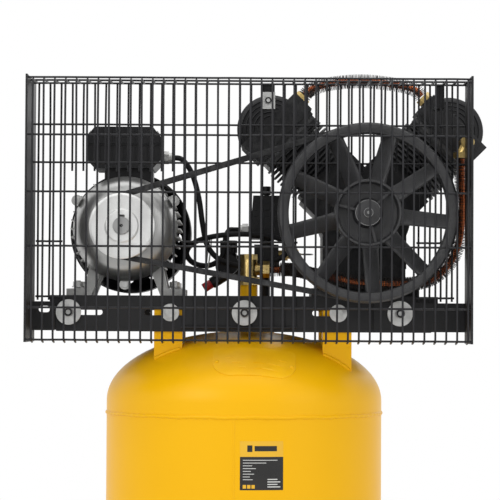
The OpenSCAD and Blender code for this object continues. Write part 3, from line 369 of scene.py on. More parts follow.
def mix_colours(tree, fac_node, fac_out, a, b):
    """Mixes two colours, each a plain value or a node."""
    node = tree.nodes.new("ShaderNodeMix")
    node.data_type = "RGBA"
    link(tree, fac_node, fac_out, node, MIX_FACTOR)
    for source, socket in ((a, MIX_A), (b, MIX_B)):
        if isinstance(source, tuple):
            node.inputs[socket].default_value = source
        else:
            link(tree, source, MIX_OUT if source.type == "MIX" else 0, node, socket)
    return node


def surface(name, colour, other, rough=(0.3, 0.5), metal=0.0, blotch=14.0, grain=900.0,
            bump=0.15, bump_size=0.0002, edge_wear_and_highlight=None, edge_wear_and_highlight_amount=0.0, coat=0.0, specular=0.5,
            fine=0.35):
    """A procedural finish: colour drift, uneven gloss, fine relief, and lighter convex edges that
    are partly worn paint and partly a painted edge highlight.
    """
    mat, tree, shader = node_tree(name)
    coords = tree.nodes.new("ShaderNodeTexCoord")
    big = noise(tree, coords, blotch)
    small = noise(tree, coords, grain, 3.0, 0.5)
    drift = ramp(tree, big, "Fac", 0.32, 0.68, (*colour, 1), (*other, 1))
    specks = ramp(tree, small, "Fac", 0.35, 0.7, (0, 0, 0, 1), (fine, fine, fine, 1))
    base = mix_colours(tree, specks, "Color", drift, (*other, 1))
    # Convex edges, found by pointiness, turn towards a lighter colour: worn paint, and also a
    # painted edge highlight.
    if edge_wear_and_highlight:
        geometry = tree.nodes.new("ShaderNodeNewGeometry")
        edge = ramp(tree, geometry, "Pointiness", 0.515, 0.56, (0, 0, 0, 1), (1, 1, 1, 1))
        patchy = noise(tree, coords, 60.0, 6.0, 0.7)
        patchy_wear_and_highlight = ramp(tree, patchy, "Fac", 0.45, 0.7, (0, 0, 0, 1), (edge_wear_and_highlight_amount,) * 3 + (1,))
        both = tree.nodes.new("ShaderNodeMath")
        both.operation = "MULTIPLY"
        link(tree, edge, "Color", both, 0)
        link(tree, patchy_wear_and_highlight, "Color", both, 1)
        base = mix_colours(tree, both, 0, base, (*edge_wear_and_highlight, 1))
    link(tree, base, MIX_OUT, shader, "Base Color")
    gloss = spread(tree, big, "Fac", rough[0], rough[1])
    link(tree, gloss, 0, shader, "Roughness")
    relief = tree.nodes.new("ShaderNodeBump")
    relief.inputs["Strength"].default_value = bump
    relief.inputs["Distance"].default_value = bump_size
    link(tree, small, "Fac", relief, "Height")
    link(tree, relief, 0, shader, "Normal")
    shader.inputs["Metallic"].default_value = metal
    shader.inputs["Coat Weight"].default_value = coat
    shader.inputs["Coat Roughness"].default_value = 0.15
    shader.inputs["Specular IOR Level"].default_value = specular
    return mat


def make_materials():
    """Every finish, by a short name."""
    m = {}
    m["yellow"] = surface(
        "tank_yellow", (0.80, 0.425, 0.001), (0.77, 0.40, 0.001), (0.30, 0.40), blotch=5.0,
        grain=420.0, bump=0.10, bump_size=0.0004, specular=0.16, fine=0.2)
    # The plate's brighter yellow edges are a painted highlight on its raised edges, not worn paint.
    m["plate_yellow"] = surface(
        "plate_yellow", (0.84, 0.46, 0.002), (0.76, 0.39, 0.002), (0.28, 0.38), blotch=30.0,
        grain=900.0, bump=0.12, bump_size=0.0003, specular=0.2, edge_wear_and_highlight=(0.95, 0.62, 0.05),
        edge_wear_and_highlight_amount=0.6)
    m["black"] = surface(
        "black_paint", (0.007, 0.007, 0.008), (0.013, 0.013, 0.014), (0.42, 0.58), blotch=20.0,
        grain=1400.0, bump=0.25, bump_size=0.0002, specular=0.28)
    m["wire"] = surface(
        "wire_coating", (0.009, 0.009, 0.011), (0.014, 0.014, 0.016), (0.34, 0.48), blotch=40.0,
        grain=1600.0, bump=0.1, bump_size=0.0001, specular=0.3, fine=0.15)
    # Lighter grey edges on the black iron paint: partly worn paint, partly a painted highlight on
    # the rim and rib edges.
    m["iron"] = surface(
        "cast_iron_paint", (0.017, 0.017, 0.018), (0.034, 0.034, 0.036), (0.36, 0.56), blotch=28.0,
        grain=520.0, bump=0.8, bump_size=0.0008, specular=0.5, edge_wear_and_highlight=(0.12, 0.12, 0.12),
        edge_wear_and_highlight_amount=0.35, fine=0.2)
    # Lighter grey edges here too: partly worn paint, partly a painted edge highlight.
    m["iron_dark"] = surface(
        "pump_casting", (0.006, 0.006, 0.007), (0.014, 0.014, 0.015), (0.42, 0.62), blotch=24.0,
        grain=420.0, bump=0.7, bump_size=0.0008, specular=0.3, edge_wear_and_highlight=(0.09, 0.09, 0.09),
        edge_wear_and_highlight_amount=0.35)
    m["plastic"] = surface(
        "black_plastic", (0.005, 0.005, 0.006), (0.010, 0.010, 0.011), (0.34, 0.5), blotch=16.0,
        grain=1100.0, bump=0.3, bump_size=0.0002, specular=0.3)
    m["rubber"] = surface(
        "rubber", (0.007, 0.007, 0.008), (0.014, 0.014, 0.015), (0.55, 0.8), blotch=30.0,
        grain=800.0, bump=0.3, bump_size=0.0003, specular=0.22)
    m["belt"] = surface(
        "belt_cloth", (0.014, 0.014, 0.015), (0.028, 0.028, 0.029), (0.6, 0.85), blotch=40.0,
        grain=1300.0, bump=0.6, bump_size=0.0003, specular=0.2, edge_wear_and_highlight=(0.1, 0.1, 0.1),
        edge_wear_and_highlight_amount=0.5)
    m["cast_alu"] = surface(
        "cast_aluminium", (0.46, 0.46, 0.45), (0.33, 0.33, 0.32), (0.34, 0.5), metal=0.8,
        blotch=22.0, grain=520.0, bump=0.45, bump_size=0.0005, edge_wear_and_highlight=(0.6, 0.6, 0.59),
        edge_wear_and_highlight_amount=0.6)
    m["turned"] = surface(
        "turned_face", (0.86, 0.86, 0.85), (0.68, 0.68, 0.67), (0.26, 0.42), metal=0.85,
        blotch=16.0, grain=700.0, bump=0.3, bump_size=0.0003, edge_wear_and_highlight=(0.8, 0.8, 0.79),
        edge_wear_and_highlight_amount=0.5)
    m["alu"] = surface(
        "machined_aluminium", (0.48, 0.48, 0.47), (0.37, 0.37, 0.365), (0.24, 0.42), metal=0.85,
        blotch=16.0, grain=700.0, bump=0.3, bump_size=0.0003, edge_wear_and_highlight=(0.62, 0.62, 0.6),
        edge_wear_and_highlight_amount=0.5)
    m["steel"] = surface(
        "bright_steel", (0.38, 0.38, 0.375), (0.27, 0.27, 0.27), (0.22, 0.4), metal=0.95,
        blotch=20.0, grain=900.0, bump=0.2, bump_size=0.0002)
    m["zinc"] = surface(
        "zinc_plate", (0.62, 0.62, 0.61), (0.40, 0.40, 0.39), (0.34, 0.52), metal=0.85,
        blotch=70.0, grain=900.0, bump=0.35, bump_size=0.0003, edge_wear_and_highlight=(0.5, 0.5, 0.49),
        edge_wear_and_highlight_amount=0.6)
    m["brass"] = surface(
        "brass", (0.80, 0.60, 0.26), (0.56, 0.40, 0.14), (0.20, 0.38), metal=1.0, blotch=60.0,
        grain=900.0, bump=0.2, bump_size=0.0002)
    m["copper"] = surface(
        "copper", (0.66, 0.20, 0.07), (0.42, 0.11, 0.04), (0.28, 0.45), metal=1.0, blotch=80.0,
        grain=900.0, bump=0.25, bump_size=0.0002)
    m["fin"] = surface(
        "tarnished_fin", (0.032, 0.022, 0.018), (0.012, 0.010, 0.009), (0.4, 0.6), metal=0.4,
        blotch=90.0, grain=900.0, bump=0.25, bump_size=0.0002)
    m["enamel"] = surface(
        "enamelled_wire", (0.45, 0.14, 0.04), (0.30, 0.09, 0.03), (0.3, 0.45), metal=0.6,
        blotch=60.0, grain=500.0, bump=0.6, bump_size=0.0008)
    m["red"] = surface(
        "red_plastic", (0.50, 0.006, 0.014), (0.40, 0.005, 0.011), (0.28, 0.4), blotch=40.0,
        grain=900.0, bump=0.15, bump_size=0.0002)
    m["white"] = surface(
        "pale_print", (0.62, 0.62, 0.60), (0.54, 0.54, 0.52), (0.35, 0.5), blotch=60.0,
        grain=900.0, bump=0.05, bump_size=0.0001)
    m["clear"] = surface(
        "pale_nylon", (0.42, 0.42, 0.40), (0.34, 0.34, 0.32), (0.3, 0.45), blotch=60.0,
        grain=900.0, bump=0.05, bump_size=0.0001)
    m["film"] = surface(
        "black_film", (0.010, 0.010, 0.010), (0.016, 0.015, 0.014), (0.22, 0.34), blotch=30.0,
        grain=900.0, bump=0.05, bump_size=0.0001, coat=0.2, specular=0.3)
    m["print_yellow"] = surface(
        "yellow_print", (0.74, 0.42, 0.012), (0.70, 0.38, 0.010), (0.25, 0.35), blotch=30.0,
        grain=900.0, bump=0.05, bump_size=0.0001)
    m["floor"] = surface(
        "studio_floor", (0.80, 0.80, 0.80), (0.76, 0.76, 0.76), (0.5, 0.7), blotch=1.0, grain=60.0,
        bump=0.02, bump_size=0.0002)
    return m


M = make_materials()

# ---------- stage ----------


FLOOR_HALF = 6
FLOOR_THICK = 0.02


def make_floor():
    """A wide pale floor."""
    bm = bmesh.new()
    add_box(bm, (-FLOOR_HALF, -FLOOR_HALF, -FLOOR_THICK), (FLOOR_HALF, FLOOR_HALF, 0))
    mesh = bpy.data.meshes.new("floor")
    bm.to_mesh(mesh)
    bm.free()
    floor = bpy.data.objects.new("floor", mesh)
    floor.data.materials.append(M["floor"])
    bpy.context.scene.collection.objects.link(floor)


# ---------- receiver ----------

# Millimetres from the floor and the tank axis.
HEAD_TOP = 850
HEAD_LOW = 188
HEAD_H = 100
WELD_INSET = 18
STUB_X = 6
BOSS_X, BOSS_Y = 30, 62
BOSS_TOP = 966
HEAD_STEPS = 32
SHELL_STEPS = 24


def tank_profile():
    """Outline of the tank from the bottom pole to the top pole, as (radius, height) in metres."""
    low, high, rise = HEAD_LOW * MM, HEAD_TOP * MM, HEAD_H * MM
    pts = []
    for k in range(HEAD_STEPS + 1):
        a = math.radians(-90 + 90 * k / HEAD_STEPS)
        pts.append((max(TANK_R * math.cos(a), 0), low + rise * math.sin(a)))
    for k in range(1, SHELL_STEPS):
        pts.append((TANK_R, low + (high - low) * k / SHELL_STEPS))
    for k in range(HEAD_STEPS + 1):
        a = math.radians(90 * k / HEAD_STEPS)
        pts.append((max(TANK_R * math.cos(a), 0), high + rise * math.sin(a)))
    return pts


def dome_height(x, y):
    """Height of the tank's upper head over a point given in millimetres from the axis."""
    q = 1 - (x * x + y * y) / (TANK_R / MM) ** 2
    return HEAD_TOP + HEAD_H * math.sqrt(max(q, 0))


def make_tank():
    """Shell and heads, the outlet stub, the boss behind it and the drain boss below."""
    bm = bmesh.new()
    foot = Vector((TX, TY, 0))
    up = Vector((0, 0, 1))
    add_lathe(bm, foot, up, tank_profile(), steps=192, closed=False)
    stub_low = (dome_height(STUB_X, 0) - 4) * MM
    stub_top = DECK + 0.017
    add_lathe(bm, at(STUB_X, 0, 0), up, [
        (0.013, stub_low), (0.013, stub_top - 0.001), (0.012, stub_top), (0.0092, stub_top),
        (0.009, stub_top - 0.006), (0.0, stub_top - 0.006)], 48, False)
    boss_low = (dome_height(BOSS_X, BOSS_Y) - 4) * MM
    boss_top = BOSS_TOP * MM
    add_lathe(bm, at(BOSS_X, BOSS_Y, 0), up, [
        (0.017, boss_low), (0.0145, boss_low + 0.006), (0.014, boss_top - 0.001),
        (0.013, boss_top), (0.0, boss_top)], 48, False)
    low = (HEAD_LOW - HEAD_H) * MM
    add_lathe(bm, foot, up, [
        (0.0, low - 0.02), (0.015, low - 0.02), (0.016, low - 0.019), (0.016, low + 0.004),
        (0.02, low + 0.008)], 48, False)
    new_object("tank_body", bm, M["yellow"], "root", ("tank_shell",), 40)


def wavy_ring(z, radius, ripple, rng):
    """A slightly uneven circle round the tank for a weld bead."""
    pts, phase = [], rng.random() * 6
    count = 300
    for k in range(count + 1):
        a = 2 * math.pi * k / count
        wave = math.sin(17 * a + phase) + 0.6 * math.sin(41 * a) + 0.5 * math.sin(97 * a + 1)
        dz = ripple * wave
        pts.append(Vector((TX + radius * math.cos(a), TY + radius * math.sin(a), z + dz)))
    return pts


SEAM_ANGLE = 266.0
BRACKET_WELDS = ((-108, -95), (131, -95), (-108, 95), (131, 95))
BRACKET_WELD_HALF = 19


def bead_radii(path, radius, swing, rate):
    """Radii of a weld bead that swells and shrinks along its path."""
    return [radius + swing * math.sin(k * rate) for k in range(len(path))]


def make_welds():
    """Beads round both heads, down the shell's seam and along the brackets."""
    rng = random.Random(SEED)
    bm = bmesh.new()
    for z in (HEAD_TOP - WELD_INSET, HEAD_LOW + WELD_INSET):
        path = wavy_ring(z * MM, TANK_R - 0.0012, 0.0004, rng)
        radii = [r + 0.0002 * rng.random() for r in bead_radii(path, 0.0028, 0.0003, 1.9)]
        radii[-1] = radii[0]
        add_tube(bm, path, radii, 10, capped=False)
    seam = math.radians(SEAM_ANGLE)
    seam_r = TANK_R - 0.0018
    path = [Vector((TX + seam_r * math.cos(seam), TY + seam_r * math.sin(seam), z * MM))
            for z in range(HEAD_LOW + WELD_INSET, HEAD_TOP - WELD_INSET + 1, 6)]
    add_tube(bm, path, bead_radii(path, 0.0026, 0.0002, 2.3), 10)
    for x, y in BRACKET_WELDS:
        line = y - 3.2 if y < 0 else y + 3.2
        path = [at(x + t, line, dome_height(x + t, line) + 0.5)
                for t in range(-BRACKET_WELD_HALF, BRACKET_WELD_HALF + 1, 3)]
        add_tube(bm, path, bead_radii(path, 0.003, 0.0004, 2.1), 8)
    new_object("tank_weld_beads", bm, M["yellow"], "root", smooth=60)


def on_shell(angle, z, lift=0.0):
    """A point on the tank's shell; angle in radians from -Y, positive towards +X."""
    r = TANK_R + lift
    return Vector((TX + r * math.sin(angle), TY - r * math.cos(angle), z))


def shell_patch(bm, x0, x1, z0, z1, lift, thick=0.0002):
    """A thin curved plate on the tank's front; x is the distance round the shell in metres."""
    steps = max(2, int((x1 - x0) / 0.004))
    layers = []
    for level in (lift, lift + thick):
        rows = []
        for z in (z0, z1):
            rows.append([bm.verts.new(on_shell((x0 + (x1 - x0) * k / steps) / TANK_R, z, level))
                         for k in range(steps + 1)])
        layers.append(rows)
    add_slab(bm, layers)


LABEL_HALF = 0.030
LABEL_SPLIT = 0.68
# Lift and thickness of the printed marks.
INK = (0.0002, 0.0001)
LINE_WIDTHS = (0.92, 0.62, 0.40, 0.55, 0.34, 0.48, 0.30, 0.42)


def make_label():
    """A two-part label with plain bars and squares in place of print."""
    low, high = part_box("tank_label")
    x_mid = (low.x + high.x) / 2 - TX
    x0, x1 = x_mid - LABEL_HALF, x_mid + LABEL_HALF
    z0, z1 = low.z, high.z
    split = z0 + (z1 - z0) * LABEL_SPLIT
    bm = bmesh.new()
    shell_patch(bm, x0, x1, z0, split, 0.0)
    new_object("label_lower", bm, M["film"], "root", ("tank_label",), 60)
    bm = bmesh.new()
    shell_patch(bm, x0, x1, split, z1, 0.0)
    new_object("label_upper", bm, M["print_yellow"], "root", smooth=60)
    bm = bmesh.new()
    band = (z1 - split) * 0.42
    shell_patch(bm, x0 + 0.010, x0 + 0.017, split + band * 0.75, split + band * 1.75, *INK)
    shell_patch(bm, x0 + 0.020, x1 - 0.009, split + band * 0.85, split + band * 1.65, *INK)
    new_object("label_mark", bm, M["film"], "root", smooth=60)
    bm = bmesh.new()
    row = (split - z0) / 12
    left = x0 + 0.004
    for k, width in enumerate(LINE_WIDTHS):
        z = split - row * (1.1 + k)
        reach = (x1 - x0 - 0.008) * width * (0.62 if k > 1 else 1)
        shell_patch(bm, left, left + reach, z - row * 0.22, z, *INK)
    for k in range(4):
        z = z0 + row * (1.0 + k * 0.9)
        shell_patch(bm, x1 - 0.022, x1 - 0.004 - 0.004 * (k % 2), z, z + row * 0.35, *INK)
    new_object("label_lines", bm, M["white"], "root", smooth=60)
    bm = bmesh.new()
    for k in range(3):
        x = left + 0.006 * k
        shell_patch(bm, x, x + 0.0045, z0 + row * 0.6, z0 + row * 1.9, *INK)
    new_object("label_squares", bm, M["print_yellow"], "root", smooth=60)


# ---------- guard ----------

# Millimetres from the floor and the tank axis.
WIRE_R = 1.5
WIRE_SIDES = 10
FRONT_FIRST = -294.0
FRONT_PITCH = 15.05
FRONT_COUNT = 41
FRONT_ROWS = (937.5, 982, 1067, 1142, 1221)
GUARD_LEFT = -301
GUARD_RIGHT = 312
GUARD_LOW = 936
GUARD_HIGH = 1302
REAR_FIRST = -293.0
REAR_PITCH = 15.85
REAR_COUNT = 38
REAR_TOP_LOW = 1180
REAR_ROWS = (1188, 1242, GUARD_HIGH - WIRE_R)
REAR_MIDDLE_ROW = 1076
# Long rear wires: first, last, their lower end and their lowest row.
REAR_RUNS = ((0, 2, 993, 998), (13, 23, 951, 955), (34, 37, 993, 998))


def bent_wire(x, front, rear, rng):
    """A front wire: foot bent back, straight up, rounded over the top and back to the rear rail."""
    lean = rng.uniform(-0.5, 0.5)
    pts = [at(x, front + 19, GUARD_LOW - 1.8), at(x, front + 5, GUARD_LOW - 0.1),
           at(x, front + 1.2, GUARD_LOW + 0.8), at(x, front, GUARD_LOW + 4)]
    top = GUARD_HIGH - 2.6 - WIRE_R
    for k in range(1, 8):
        pts.append(at(x + lean * math.sin(math.pi * k / 8), front + rng.uniform(-0.12, 0.12),
                      GUARD_LOW + 4 + (GUARD_HIGH - GUARD_LOW - 14) * k / 8))
    bend = 6
    for k in range(6):
        a = math.pi / 2 * k / 5
        pts.append(at(x, front + bend * (1 - math.cos(a)), top - bend + bend * math.sin(a)))
    pts.append(at(x + lean, (front + rear) / 2, top + 0.6))
    pts.append(at(x, rear - WIRE_R, GUARD_HIGH - WIRE_R))
    return pts


def level_wire(bm, z, y, rng, x0=GUARD_LEFT, x1=GUARD_RIGHT):
    """A wire across the guard, a little uneven in height."""
    count = 24
    path = [at(x0 + (x1 - x0) * k / count, y, z + rng.uniform(-0.15, 0.15))
            for k in range(count + 1)]
    add_tube(bm, path, WIRE_R * MM, WIRE_SIDES)


def make_guard():
    """Front and top wires as one piece, rear wires as another."""
    rng = random.Random(SEED + 1)
    front = (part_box("guard_side_strips")[0].y - TY) / MM + WIRE_R
    rear = (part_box("platform")[0].y - TY) / MM - WIRE_R - 0.1
    cross = front + 2.6
    bm = bmesh.new()
    for i in range(FRONT_COUNT):
        path = bent_wire(FRONT_FIRST + i * FRONT_PITCH, front, rear, rng)
        add_tube(bm, path, WIRE_R * MM, WIRE_SIDES)
    for z in FRONT_ROWS:
        level_wire(bm, z, cross, rng)
    for y in (front + 5, (front + rear) / 2):
        level_wire(bm, GUARD_HIGH - WIRE_R, y, rng)
    new_object("guard_front_wires", bm, M["wire"], "root", ("guard_front_mesh", "guard_top_mesh"),
               60)
    bm = bmesh.new()
    for i in range(REAR_COUNT):
        x = REAR_FIRST + i * REAR_PITCH
        low = REAR_TOP_LOW - 4
        for first, last, run_low, _ in REAR_RUNS:
            if first <= i <= last:
                low = run_low
        drift = rng.uniform(-0.6, 0.6)
        path = [at(x, rear, GUARD_HIGH - 1), at(x + drift, rear, (GUARD_HIGH + low) / 2),
                at(x, rear, low)]
        add_tube(bm, curve_through(path, 5), WIRE_R * MM, WIRE_SIDES)
    back = rear - 2.6
    for z in REAR_ROWS:
        level_wire(bm, z, back, rng)
    for first, last, _, low_row in REAR_RUNS:
        x0, x1 = REAR_FIRST + first * REAR_PITCH - 3, REAR_FIRST + last * REAR_PITCH + 3
        for z in (REAR_MIDDLE_ROW, low_row):
            level_wire(bm, z, back, rng, x0, x1)
    new_object("guard_rear_wires", bm, M["wire"], "root", ("guard_rear_top", "guard_rear_lower"),
               60)


# ---------- belt drive ----------

BLADES = 9
BLADE_FIRST = 34
BLADE_STEPS = 14
BLADE_SIDES = 16
RIM_IN = FLY_R - 0.015
BLADE_ROOT = 0.045
BLADE_TIP = RIM_IN + 0.002
PITCH_DEPTH = 0.003
GROOVE_DEEP = 0.013
GROOVE_HALF = 0.0071
GROOVE_LOW_HALF = GROOVE_HALF - GROOVE_DEEP * math.tan(math.radians(17))


def fly_blade(bm, angle):
    """One twisted fan blade, broad at the hub and narrow at the rim."""
    radial = Vector((math.cos(angle), 0, math.sin(angle)))
    tangent = Vector((-math.sin(angle), 0, math.cos(angle)))
    depth = Vector((0, 1, 0))
    rings = []
    for k in range(BLADE_STEPS + 1):
        t = k / BLADE_STEPS
        r = BLADE_ROOT + (BLADE_TIP - BLADE_ROOT) * t
        root = max(0, 1 - t * 5) ** 2 + 0.8 * max(0, (t - 0.86) / 0.14) ** 2
        chord = 0.0165 - 0.0035 * t
        thick = 0.0024 + 0.0028 * root
        pitch = math.radians(42 + 6 * t)
        along = tangent * math.sin(pitch) + depth * math.cos(pitch)
        flat = tangent * math.cos(pitch) - depth * math.sin(pitch)
        ring = []
        for j in range(BLADE_SIDES):
            a = 2 * math.pi * j / BLADE_SIDES
            u, v = math.cos(a), math.sin(a)
            u = math.copysign(abs(u) ** 0.45, u)
            v = math.copysign(abs(v) ** 0.45, v)
            ring.append(bm.verts.new(FLY + radial * r + along * (u * chord) + flat * (v * thick)))
        rings.append(ring)
    for low, high in zip(rings, rings[1:]):
        for j in range(BLADE_SIDES):
            m = (j + 1) % BLADE_SIDES
            bm.faces.new((low[j], low[m], high[m], high[j]))
    bm.faces.new(list(reversed(rings[0])))
    bm.faces.new(rings[-1])


def make_flywheel():
    """Grooved rim, twisted blades and a ribbed hub."""
    way = Vector((0, 1, 0))
    bm = bmesh.new()
    add_lathe(bm, FLY, way, [
        (RIM_IN + 0.001, -0.0135), (RIM_IN + 0.004, -RIM_HALF + 0.0008),
        (RIM_IN + 0.006, -RIM_HALF), (FLY_R - 0.004, -RIM_HALF),
        (FLY_R - 0.0025, -RIM_HALF + 0.0006), (FLY_R - 0.0012, -0.0122), (FLY_R, -0.0112),
        (FLY_R, -GROOVE_HALF - 0.0004), (FLY_R - 0.0004, -GROOVE_HALF),
        (FLY_R - GROOVE_DEEP, -GROOVE_LOW_HALF), (FLY_R - GROOVE_DEEP, GROOVE_LOW_HALF),
        (FLY_R - 0.0004, GROOVE_HALF), (FLY_R, GROOVE_HALF + 0.0004), (FLY_R, 0.0112),
        (FLY_R - 0.0012, 0.0122), (FLY_R - 0.0025, RIM_HALF - 0.0006), (FLY_R - 0.004, RIM_HALF),
        (RIM_IN + 0.006, RIM_HALF), (RIM_IN + 0.004, RIM_HALF - 0.0008), (RIM_IN + 0.001, 0.0135),
        (RIM_IN - 0.0002, 0.006), (RIM_IN - 0.0006, 0.0), (RIM_IN - 0.0002, -0.006)], 144)
    for k in range(BLADES):
        fly_blade(bm, math.radians(BLADE_FIRST + 360 / BLADES * k))
    add_lathe(bm, FLY, way, [
        (0.0145, -0.0125), (0.0165, -0.0135), (0.0178, -0.0128), (0.0185, -0.0105), (0.020, 0.0005),
        (0.0215, 0.002), (0.039, 0.0025), (0.0412, 0.001), (0.0424, -0.0135), (0.0434, -0.0157),
        (0.0446, -0.016), (0.0462, -0.0157), (0.047, -0.0145), (0.0475, 0.0), (0.0474, 0.0105),
        (0.046, 0.0118), (0.043, 0.012), (0.0418, 0.011), (0.040, 0.0078), (0.025, 0.0074),
        (0.0238, 0.0085), (0.0236, 0.019), (0.0225, 0.02), (0.0145, 0.02)], 96)
    for a in (45, 165, 285):
        turn = Matrix.Translation(FLY) @ Matrix.Rotation(math.radians(-a), 4, "Y")
        add_box(bm, (0.017, -0.0085, -0.0018), (0.0435, 0.004, 0.0018), turn)
    new_object("flywheel_casting", bm, M["iron"], "flywheel", ("flywheel",), 38)


def make_belt():
    """The V-belt: a trapezoid section carried round both pitch circles."""
    pitch_fly, pitch_small = FLY_R - PITCH_DEPTH, PULLEY_R - PITCH_DEPTH
    dx, dz = FLY.x - PULLEY.x, FLY.z - PULLEY.z
    reach = math.hypot(dx, dz)
    tilt = math.atan2(dz, dx)
    wrap = math.acos((pitch_fly - pitch_small) / reach)
    track = []
    for cx, cz, r, a0, a1, count in (
            (FLY.x, FLY.z, pitch_fly, tilt - math.pi + wrap, tilt + math.pi - wrap, 110),
            (PULLEY.x, PULLEY.z, pitch_small, tilt + math.pi - wrap, tilt + math.pi + wrap, 50)):
        for k in range(count + 1):
            a = a0 + (a1 - a0) * k / count
            track.append((cx, cz, r, a))
    y_mid = (span("v_belt", 1)[0] + span("v_belt", 1)[1]) / 2
    section = [(0.00275, -0.0058), (0.00275, 0.0058), (0.0022, 0.0064), (-0.0049, 0.0042),
               (-0.00525, 0.0037), (-0.00525, -0.0037), (-0.0049, -0.0042), (0.0022, -0.0064)]
    bm = bmesh.new()
    rows = []
    for cx, cz, r, a in track:
        ways = math.cos(a), math.sin(a)
        rows.append([bm.verts.new((cx + (r + o) * ways[0], y_mid + w, cz + (r + o) * ways[1]))
                     for o, w in section])
    count, side = len(rows), len(section)
    for i in range(count):
        j = (i + 1) % count
        for k in range(side):
            m = (k + 1) % side
            bm.faces.new((rows[i][k], rows[i][m], rows[j][m], rows[j][k]))
    new_object("drive_belt", bm, M["belt"], "root", ("v_belt",), 30)


# ---------- copper tubes ----------

COOLER_POINTS = [(86.2, -10, 1293.7), (95.6, -10, 1303), (124, -10, 1311.5), (168, -10, 1315.5),
                 (205, -10, 1312.5), (230, -10, 1308.5), (247.4, -10, 1303), (256.8, -10, 1293.7)]
DELIVERY_POINTS = [(308, -88, 1197), (308, -88, 1170), (309, -88, 1135), (308, -88, 1100),
                   (303, -88, 1073), (292, -88, 1049), (273, -88, 1030), (248, -89, 1020),
                   (212, -90, 1018), (165, -90, 1020), (130, -88, 1026), (100, -76, 1031),
                   (84, -46, 1036), (70, -12, 1039.5), (58, -1, 1040), (47, 0, 1040), (37, 0, 1040)]
TUBE_STEPS = 8
FIN_TEETH = 20
CORE_R = 0.0046
FIN_R = 0.0104
FIN_STEP = 0.0021
FIN_MID = 0.0064
FIN_HALF = 0.00042


def even_path(path, step):
    """Points at even distances along a path, with directions."""
    out, carry = [], 0.0
    for a, b in zip(path, path[1:]):
        length = (b - a).length
        way = (b - a).normalized()
        while carry < length:
            out.append((a + way * carry, way))
            carry += step
        carry -= length
    return out


def make_finned_tube(name, node, points, seed):
    """Copper core with a crimped wire fin wound round it."""
    rng = random.Random(seed)
    path = curve_through([at(*p) for p in points], TUBE_STEPS)
    bm = bmesh.new()
    add_tube(bm, path, CORE_R, 14)
    new_object(name + "_core", bm, M["copper"], "root", smooth=60)
    inner, outer = bmesh.new(), bmesh.new()
    for p, way in even_path(path, FIN_STEP):
        lean = Vector([rng.uniform(-0.03, 0.03) for _ in range(3)])
        axis = (way + lean).normalized()
        across = axis.cross(ODD_WAY).normalized()
        up = axis.cross(across)
        turn = rng.uniform(0, 6.28)
        fin_ring(inner, p, axis, across, up, turn, (CORE_R - 0.0004, CORE_R - 0.0004),
                 (FIN_MID, FIN_MID))
        fin_ring(outer, p, axis, across, up, turn, (FIN_MID - 0.0002, FIN_MID - 0.0002),
                 (FIN_R - 0.0014, FIN_R - 0.0002))
    new_object(name + "_fin_roots", inner, M["copper"], "root", smooth=50)
    new_object(name + "_fin_tips", outer, M["fin"], "root", (node,), 50)


def fin_ring(bm, p, axis, across, up, turn, low, high):
    """A thin disc, its outer edge cut into teeth when the two outer radii differ."""
    corners = FIN_TEETH * 2
    rows = []
    for radii, h in ((low, -FIN_HALF), (low, FIN_HALF), (high, FIN_HALF), (high, -FIN_HALF)):
        row = []
        for k in range(corners):
            a = turn + math.pi * k / FIN_TEETH
            row.append(bm.verts.new(p + axis * h + across * (radii[k % 2] * math.cos(a))
                                    + up * (radii[k % 2] * math.sin(a))))
        rows.append(row)
    for i in range(4):
        near, far = rows[i], rows[(i + 1) % 4]
        for k in range(corners):
            m = (k + 1) % corners
            bm.faces.new((near[k], near[m], far[m], far[k]))


# ---------- motor lead ----------

LEAD_POINTS = [(-105, 5, 1203), (-92, 5, 1200), (-78, 8, 1180), (-68, 10, 1145), (-62, 12, 1105),
               (-55, 14, 1075), (-38, 17, 1055), (-12, 24, 1046), (20, 27, 1046), (50, 27, 1056),
               (66, 26, 1072), (52, 24, 1085), (24, 22, 1091), (-15, 22, 1092), (-50, 26, 1088),
               (-76, 30, 1079), (-86, 36, 1064), (-76, 40, 1050), (-54, 38, 1046),
               (-36, 36, 1056), (-30, 36, 1074), (-28, 39, 1090), (-23, 50, 1099),
               (-16, 60, 1100), (-9, 62, 1100)]
LEAD_R = 0.004


def make_lead():
    """The motor's lead, from its gland round the slack loops to the pressure switch."""
    path = curve_through([at(*p) for p in LEAD_POINTS], TUBE_STEPS)
    bm = bmesh.new()
    add_tube(bm, path, LEAD_R, 16)
    new_object("motor_lead", bm, M["rubber"], "root", ("motor_cable",), 60)


# ---------- small details ----------


def dome_patch(bm, x0, x1, y0, y1, low, high):
    """A thin slab lying on the upper head, between two lifts above it, all in millimetres."""
    steps = max(1, int((x1 - x0) / 4))
    layers = []
    for lift in (low, high):
        rows = []
        for y in (y0, y1):
            row = []
            for k in range(steps + 1):
                x = x0 + (x1 - x0) * k / steps
                z = dome_height(x, y)
                slope = Vector((x / 4, y / 4, z - HEAD_TOP)).normalized()
                row.append(bm.verts.new(at(x, y, z) + slope * (lift * MM)))
            rows.append(row)
        layers.append(rows)
    add_slab(bm, layers)


PLATE_MIDDLE = -160
PLATE_RIVETS = (-38, 66)
# Raised fields of the plate: distance in front of the axis, and their ends along X.
PLATE_ROWS = ((-173, ((-8, 2), (12, 48))), (-164, ((-18, -4), (12, 28), (32, 50))),
              (-154, ((-26, -14), (46, 58))))


